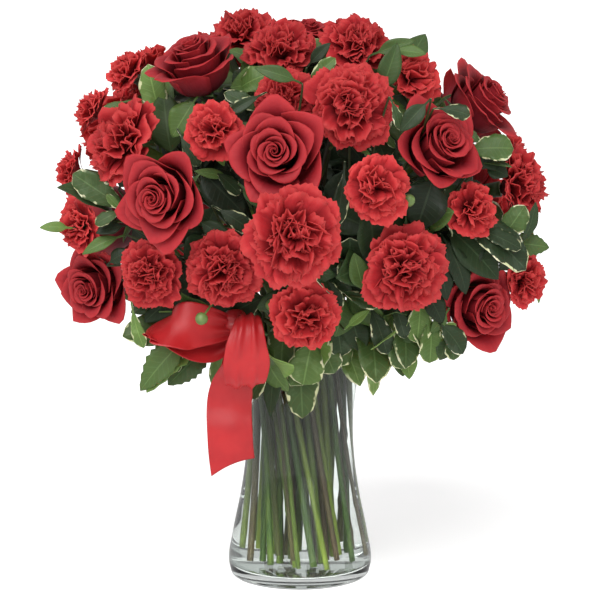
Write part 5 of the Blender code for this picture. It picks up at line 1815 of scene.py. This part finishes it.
def creamed(look, colour, along, side):
    """The colour with a broken cream margin and a few paler patches."""
    uneven = look.times(look.minus(look.noise(170, 3), 0.5), 0.95)
    rim = look.plus(look.plus(side, uneven), look.times(look.math("POWER", along, 5.0), 0.10))
    rim = look.larger(rim, look.times(look.minus(along, 0.55), 2.05))
    broken = look.larger(look.mask(look.noise(95, 2), 0.45, 0.53), look.mask(along, 0.82, 0.92, 0.8))
    colour = look.mix(look.times(look.mask(rim, 0.90, 0.96), broken), colour, CREAM)
    paler = look.tinted(colour, (1.5, 1.35, 1.8), (0.016, 0.020, 0.014))
    return look.mix(look.mask(look.noise(75, 3), 0.54, 0.62, 0.5), colour, paler)


def leaf_look(name, kind):
    look = Look(name)
    along, across, own, under = look.paint()
    side = look.times(look.math("ABSOLUTE", look.minus(across, 0.5)), 2.0)
    blotch = look.noise(38, 4)
    # The tone carries painted shade: leaves deep inside the dome are darker.
    colour = look.ramp(look.plus(look.times(own, 0.85), look.times(blotch, 0.2)), *LEAF_GREENS_AND_SHADE)
    ribs = look.math("SINE", look.times(look.minus(along, look.times(side, 0.16)), 62.0))
    rib = look.math("POWER", look.larger(ribs, 0.0), 8.0)
    vein = look.larger(look.times(rib, 0.30), look.math("LESS_THAN", side, 0.05))
    lighter = look.tinted(colour, (2.2, 2.0, 2.4), (0.012, 0.018, 0.008))
    colour = look.mix(look.times(vein, 0.5), colour, lighter)
    if kind == "edged":
        colour = creamed(look, colour, along, side)
    pale = look.tinted(colour, (1.4, 1.3, 1.6), (0.010, 0.014, 0.008))
    grain = look.bump(look.noise(420, 3), 0.0003, 0.3)
    look.set_all(
        Base_Color=look.mix(under, colour, pale),
        Roughness=look.plus(0.33, look.times(blotch, 0.25)),
        Specular_IOR_Level=0.30,
        Subsurface_Weight=0.06,
        Subsurface_Scale=0.003,
        Normal=look.bump(vein, 0.0005, 0.6, grain),
    )
    return look.material


# Colours of the stems by their tint, and the painted shade that darkens them from the foot up.
STEM_GREENS = (
    (0.10, (0.105, 0.070, 0.060)),
    (0.30, (0.125, 0.120, 0.060)),
    (0.50, (0.085, 0.150, 0.035)),
    (0.78, (0.235, 0.330, 0.065)),
    (1.00, (0.060, 0.130, 0.030)),
)
STEM_PAINTED_SHADE = (
    (0.00, (1.00, 0.96, 0.66)),
    (0.14, (0.72, 0.71, 0.50)),
    (0.30, (0.36, 0.34, 0.27)),
)
CUT_END = (0.55, 0.60, 0.38)


def stem_look():
    look = Look("stem_skin")
    along, tint, _, cut = look.paint()
    where = look.add("TexCoord").outputs["Object"]
    drawn = look.add("Mapping", {"Vector": where, "Scale": (1.0, 1.0, 0.14)})
    streak = look.noise(240, 4, drawn.outputs[0])
    tone = look.plus(look.times(tint, 0.85), look.times(streak, 0.3))
    # Painted shade darkens the stems from the foot up.
    colour = look.tinted(look.ramp(tone, *STEM_GREENS), look.ramp(along, *STEM_PAINTED_SHADE))
    look.set_all(
        Base_Color=look.mix(cut, colour, CUT_END),
        Roughness=0.48,
        Specular_IOR_Level=0.4,
        Normal=look.bump(streak, 0.0004, 0.5),
    )
    return look.material


def bud_look():
    look = Look("bud_skin")
    speck = look.noise(180, 3)
    look.set_all(
        Base_Color=look.ramp(speck, (0.3, (0.075, 0.135, 0.030)), (0.7, (0.160, 0.235, 0.070))),
        Roughness=0.42,
        Normal=look.bump(speck, 0.0003, 0.4),
    )
    return look.material


FAINT_MIRROR = (0.4, 0.4, 0.4)  # glass and water mirror little of the studio, as in front of dark stems


def clear_look(name, drift, colours, ior):
    """A clear material whose colour drifts a little from place to place."""
    look = Look(name)
    look.set_all(
        Base_Color=look.ramp(look.noise(*drift), *colours),
        Roughness=0.0,
        IOR=ior,
        Specular_Tint=FAINT_MIRROR,
        Transmission_Weight=1.0,
    )
    return look


def glass_look():
    colours = ((0.3, (0.93, 0.965, 0.95)), (0.7, (0.955, 0.98, 0.965)))
    look = clear_look("clear_glass", (22, 2), colours, 1.5)
    look.set_all(Normal=look.bump(look.noise(30, 1), 0.0004, 0.15))
    return look.material


def water_look():
    colours = ((0.3, (0.965, 0.985, 0.97)), (0.7, (0.98, 0.99, 0.98)))
    return clear_look("water", (12, 1), colours, 1.333).material


def satin_look():
    look = Look("red_satin")
    _, across, _, _ = look.paint()
    yarn = look.math("SINE", look.times(across, 900.0))
    colour = look.ramp(look.noise(60, 2), (0.3, (0.39, 0.012, 0.016)), (0.7, (0.47, 0.017, 0.020)))
    edge = look.math("GREATER_THAN", look.math("ABSOLUTE", look.minus(across, 0.5)), 0.485)
    look.set_all(
        Base_Color=look.mix(look.times(edge, 0.5), colour, (0.42, 0.01, 0.012)),
        Roughness=0.26,
        Anisotropic=0.6,
        Anisotropic_Rotation=0.25,
        Tangent=look.add("Tangent", direction_type="RADIAL", axis="Z").outputs[0],
        Sheen_Weight=0.04,
        Sheen_Roughness=0.35,
        Sheen_Tint=(1.0, 0.25, 0.22),
        Specular_IOR_Level=0.55,
        Normal=look.bump(yarn, 0.00005, 0.35),
    )
    return look.material


def wood_look():
    look = Look("stained_wood")
    colour = look.ramp(look.noise(300, 3), (0.3, (0.05, 0.12, 0.03)), (0.7, (0.10, 0.19, 0.05)))
    look.set_all(Base_Color=colour, Roughness=0.7)
    return look.material


def floor_look():
    look = Look("pale_floor")
    look.set_all(
        Base_Color=look.ramp(look.noise(6, 3), (0.3, (0.91, 0.91, 0.91)), (0.7, (0.93, 0.93, 0.93))),
        Roughness=0.9,
        Specular_IOR_Level=0.1,
        Emission_Color=WHITE,
        Emission_Strength=FLOOR_GLOW,
    )
    return look.material


# Stage.

CAMERA_DISTANCE = 1.75
CAMERA_PITCH = math.radians(8.5)
CAMERA_TARGET = (0.0, 0.0, 0.23173)
CAMERA_LENS = 126.577
FLOOR_REACH = 400.0
FLOOR_GLOW = 0.36  # a little light from below, as on a lit studio table
WORLD_LIGHT = 0.58
SUN_LIGHT = 2.3
SUN_SPREAD = math.radians(50)
SUN_FROM = (-0.8, -2.0, 2.3)
FRONT_LIGHT = 5
FRONT_SIZE = 0.9
FRONT_FROM = (0.5, -1.7, 0.55)


def aimed(place_at):
    """The turn that points a lamp at a place to the camera's target."""
    return (Vector(CAMERA_TARGET) - Vector(place_at)).to_track_quat("-Z", "Y").to_euler()


def lamp_at(name, kind, energy):
    data = bpy.data.lights.new(name, kind)
    data.energy = energy
    lamp = bpy.data.objects.new(name, data)
    bpy.context.scene.collection.objects.link(lamp)
    return lamp


def build_stage():
    scene = bpy.context.scene
    corners = np.array(((-1, -1, 0), (1, -1, 0), (1, 1, 0), (-1, 1, 0)), float) * FLOOR_REACH
    floor = new_piece("floor", corners, np.array(((0, 1, 2, 3),)), floor_look())
    floor.visible_glossy = False  # or the glass would mirror the bright floor all over
    world = bpy.data.worlds.new("studio")
    world.use_nodes = True
    background = world.node_tree.nodes["Background"]
    background.inputs[0].default_value = (1.0, 1.0, 1.0, 1.0)
    background.inputs[1].default_value = WORLD_LIGHT
    scene.world = world
    sun = lamp_at("sun", "SUN", SUN_LIGHT)
    sun.data.angle = SUN_SPREAD
    sun.rotation_euler = aimed(SUN_FROM)
    front = lamp_at("front", "AREA", FRONT_LIGHT)
    front.data.size = FRONT_SIZE
    front.visible_glossy = False
    front.location = FRONT_FROM
    front.rotation_euler = aimed(FRONT_FROM)
    lens = bpy.data.cameras.new("camera")
    lens.lens = CAMERA_LENS
    lens.sensor_width = SENSOR
    view = bpy.data.objects.new("camera", lens)
    away = Vector((0, -math.cos(CAMERA_PITCH), math.sin(CAMERA_PITCH))) * CAMERA_DISTANCE
    view.location = Vector(CAMERA_TARGET) + away
    view.rotation_euler = (-away).to_track_quat("-Z", "Y").to_euler()
    scene.collection.objects.link(view)
    scene.camera = view
    scene.view_settings.view_transform = "Standard"


def main():
    petal_looks = {
        "rose": petal_look("rose_petal", ROSE_RED_AND_PAINTED_LIGHT, 0.55, 0.05, 26.0),
        "carnation": petal_look("carnation_petal", CARNATION_RED_AND_PAINTED_LIGHT, 0.65, 0.03, 34.0),
        "mini": petal_look("mini_carnation_petal", MINI_RED_AND_PAINTED_LIGHT, 0.65, 0.03, 30.0),
    }
    dress_blooms(petal_looks)
    green_looks = {kind: leaf_look("leaf_" + kind, kind) for kind in ("plain", "edged", "serrated")}
    dress_greenery({"stem": stem_look(), "bud": bud_look(), **green_looks})
    dress_vase(glass_look(), water_look())
    dress_bow(satin_look(), wood_look())
    build_stage()


main()
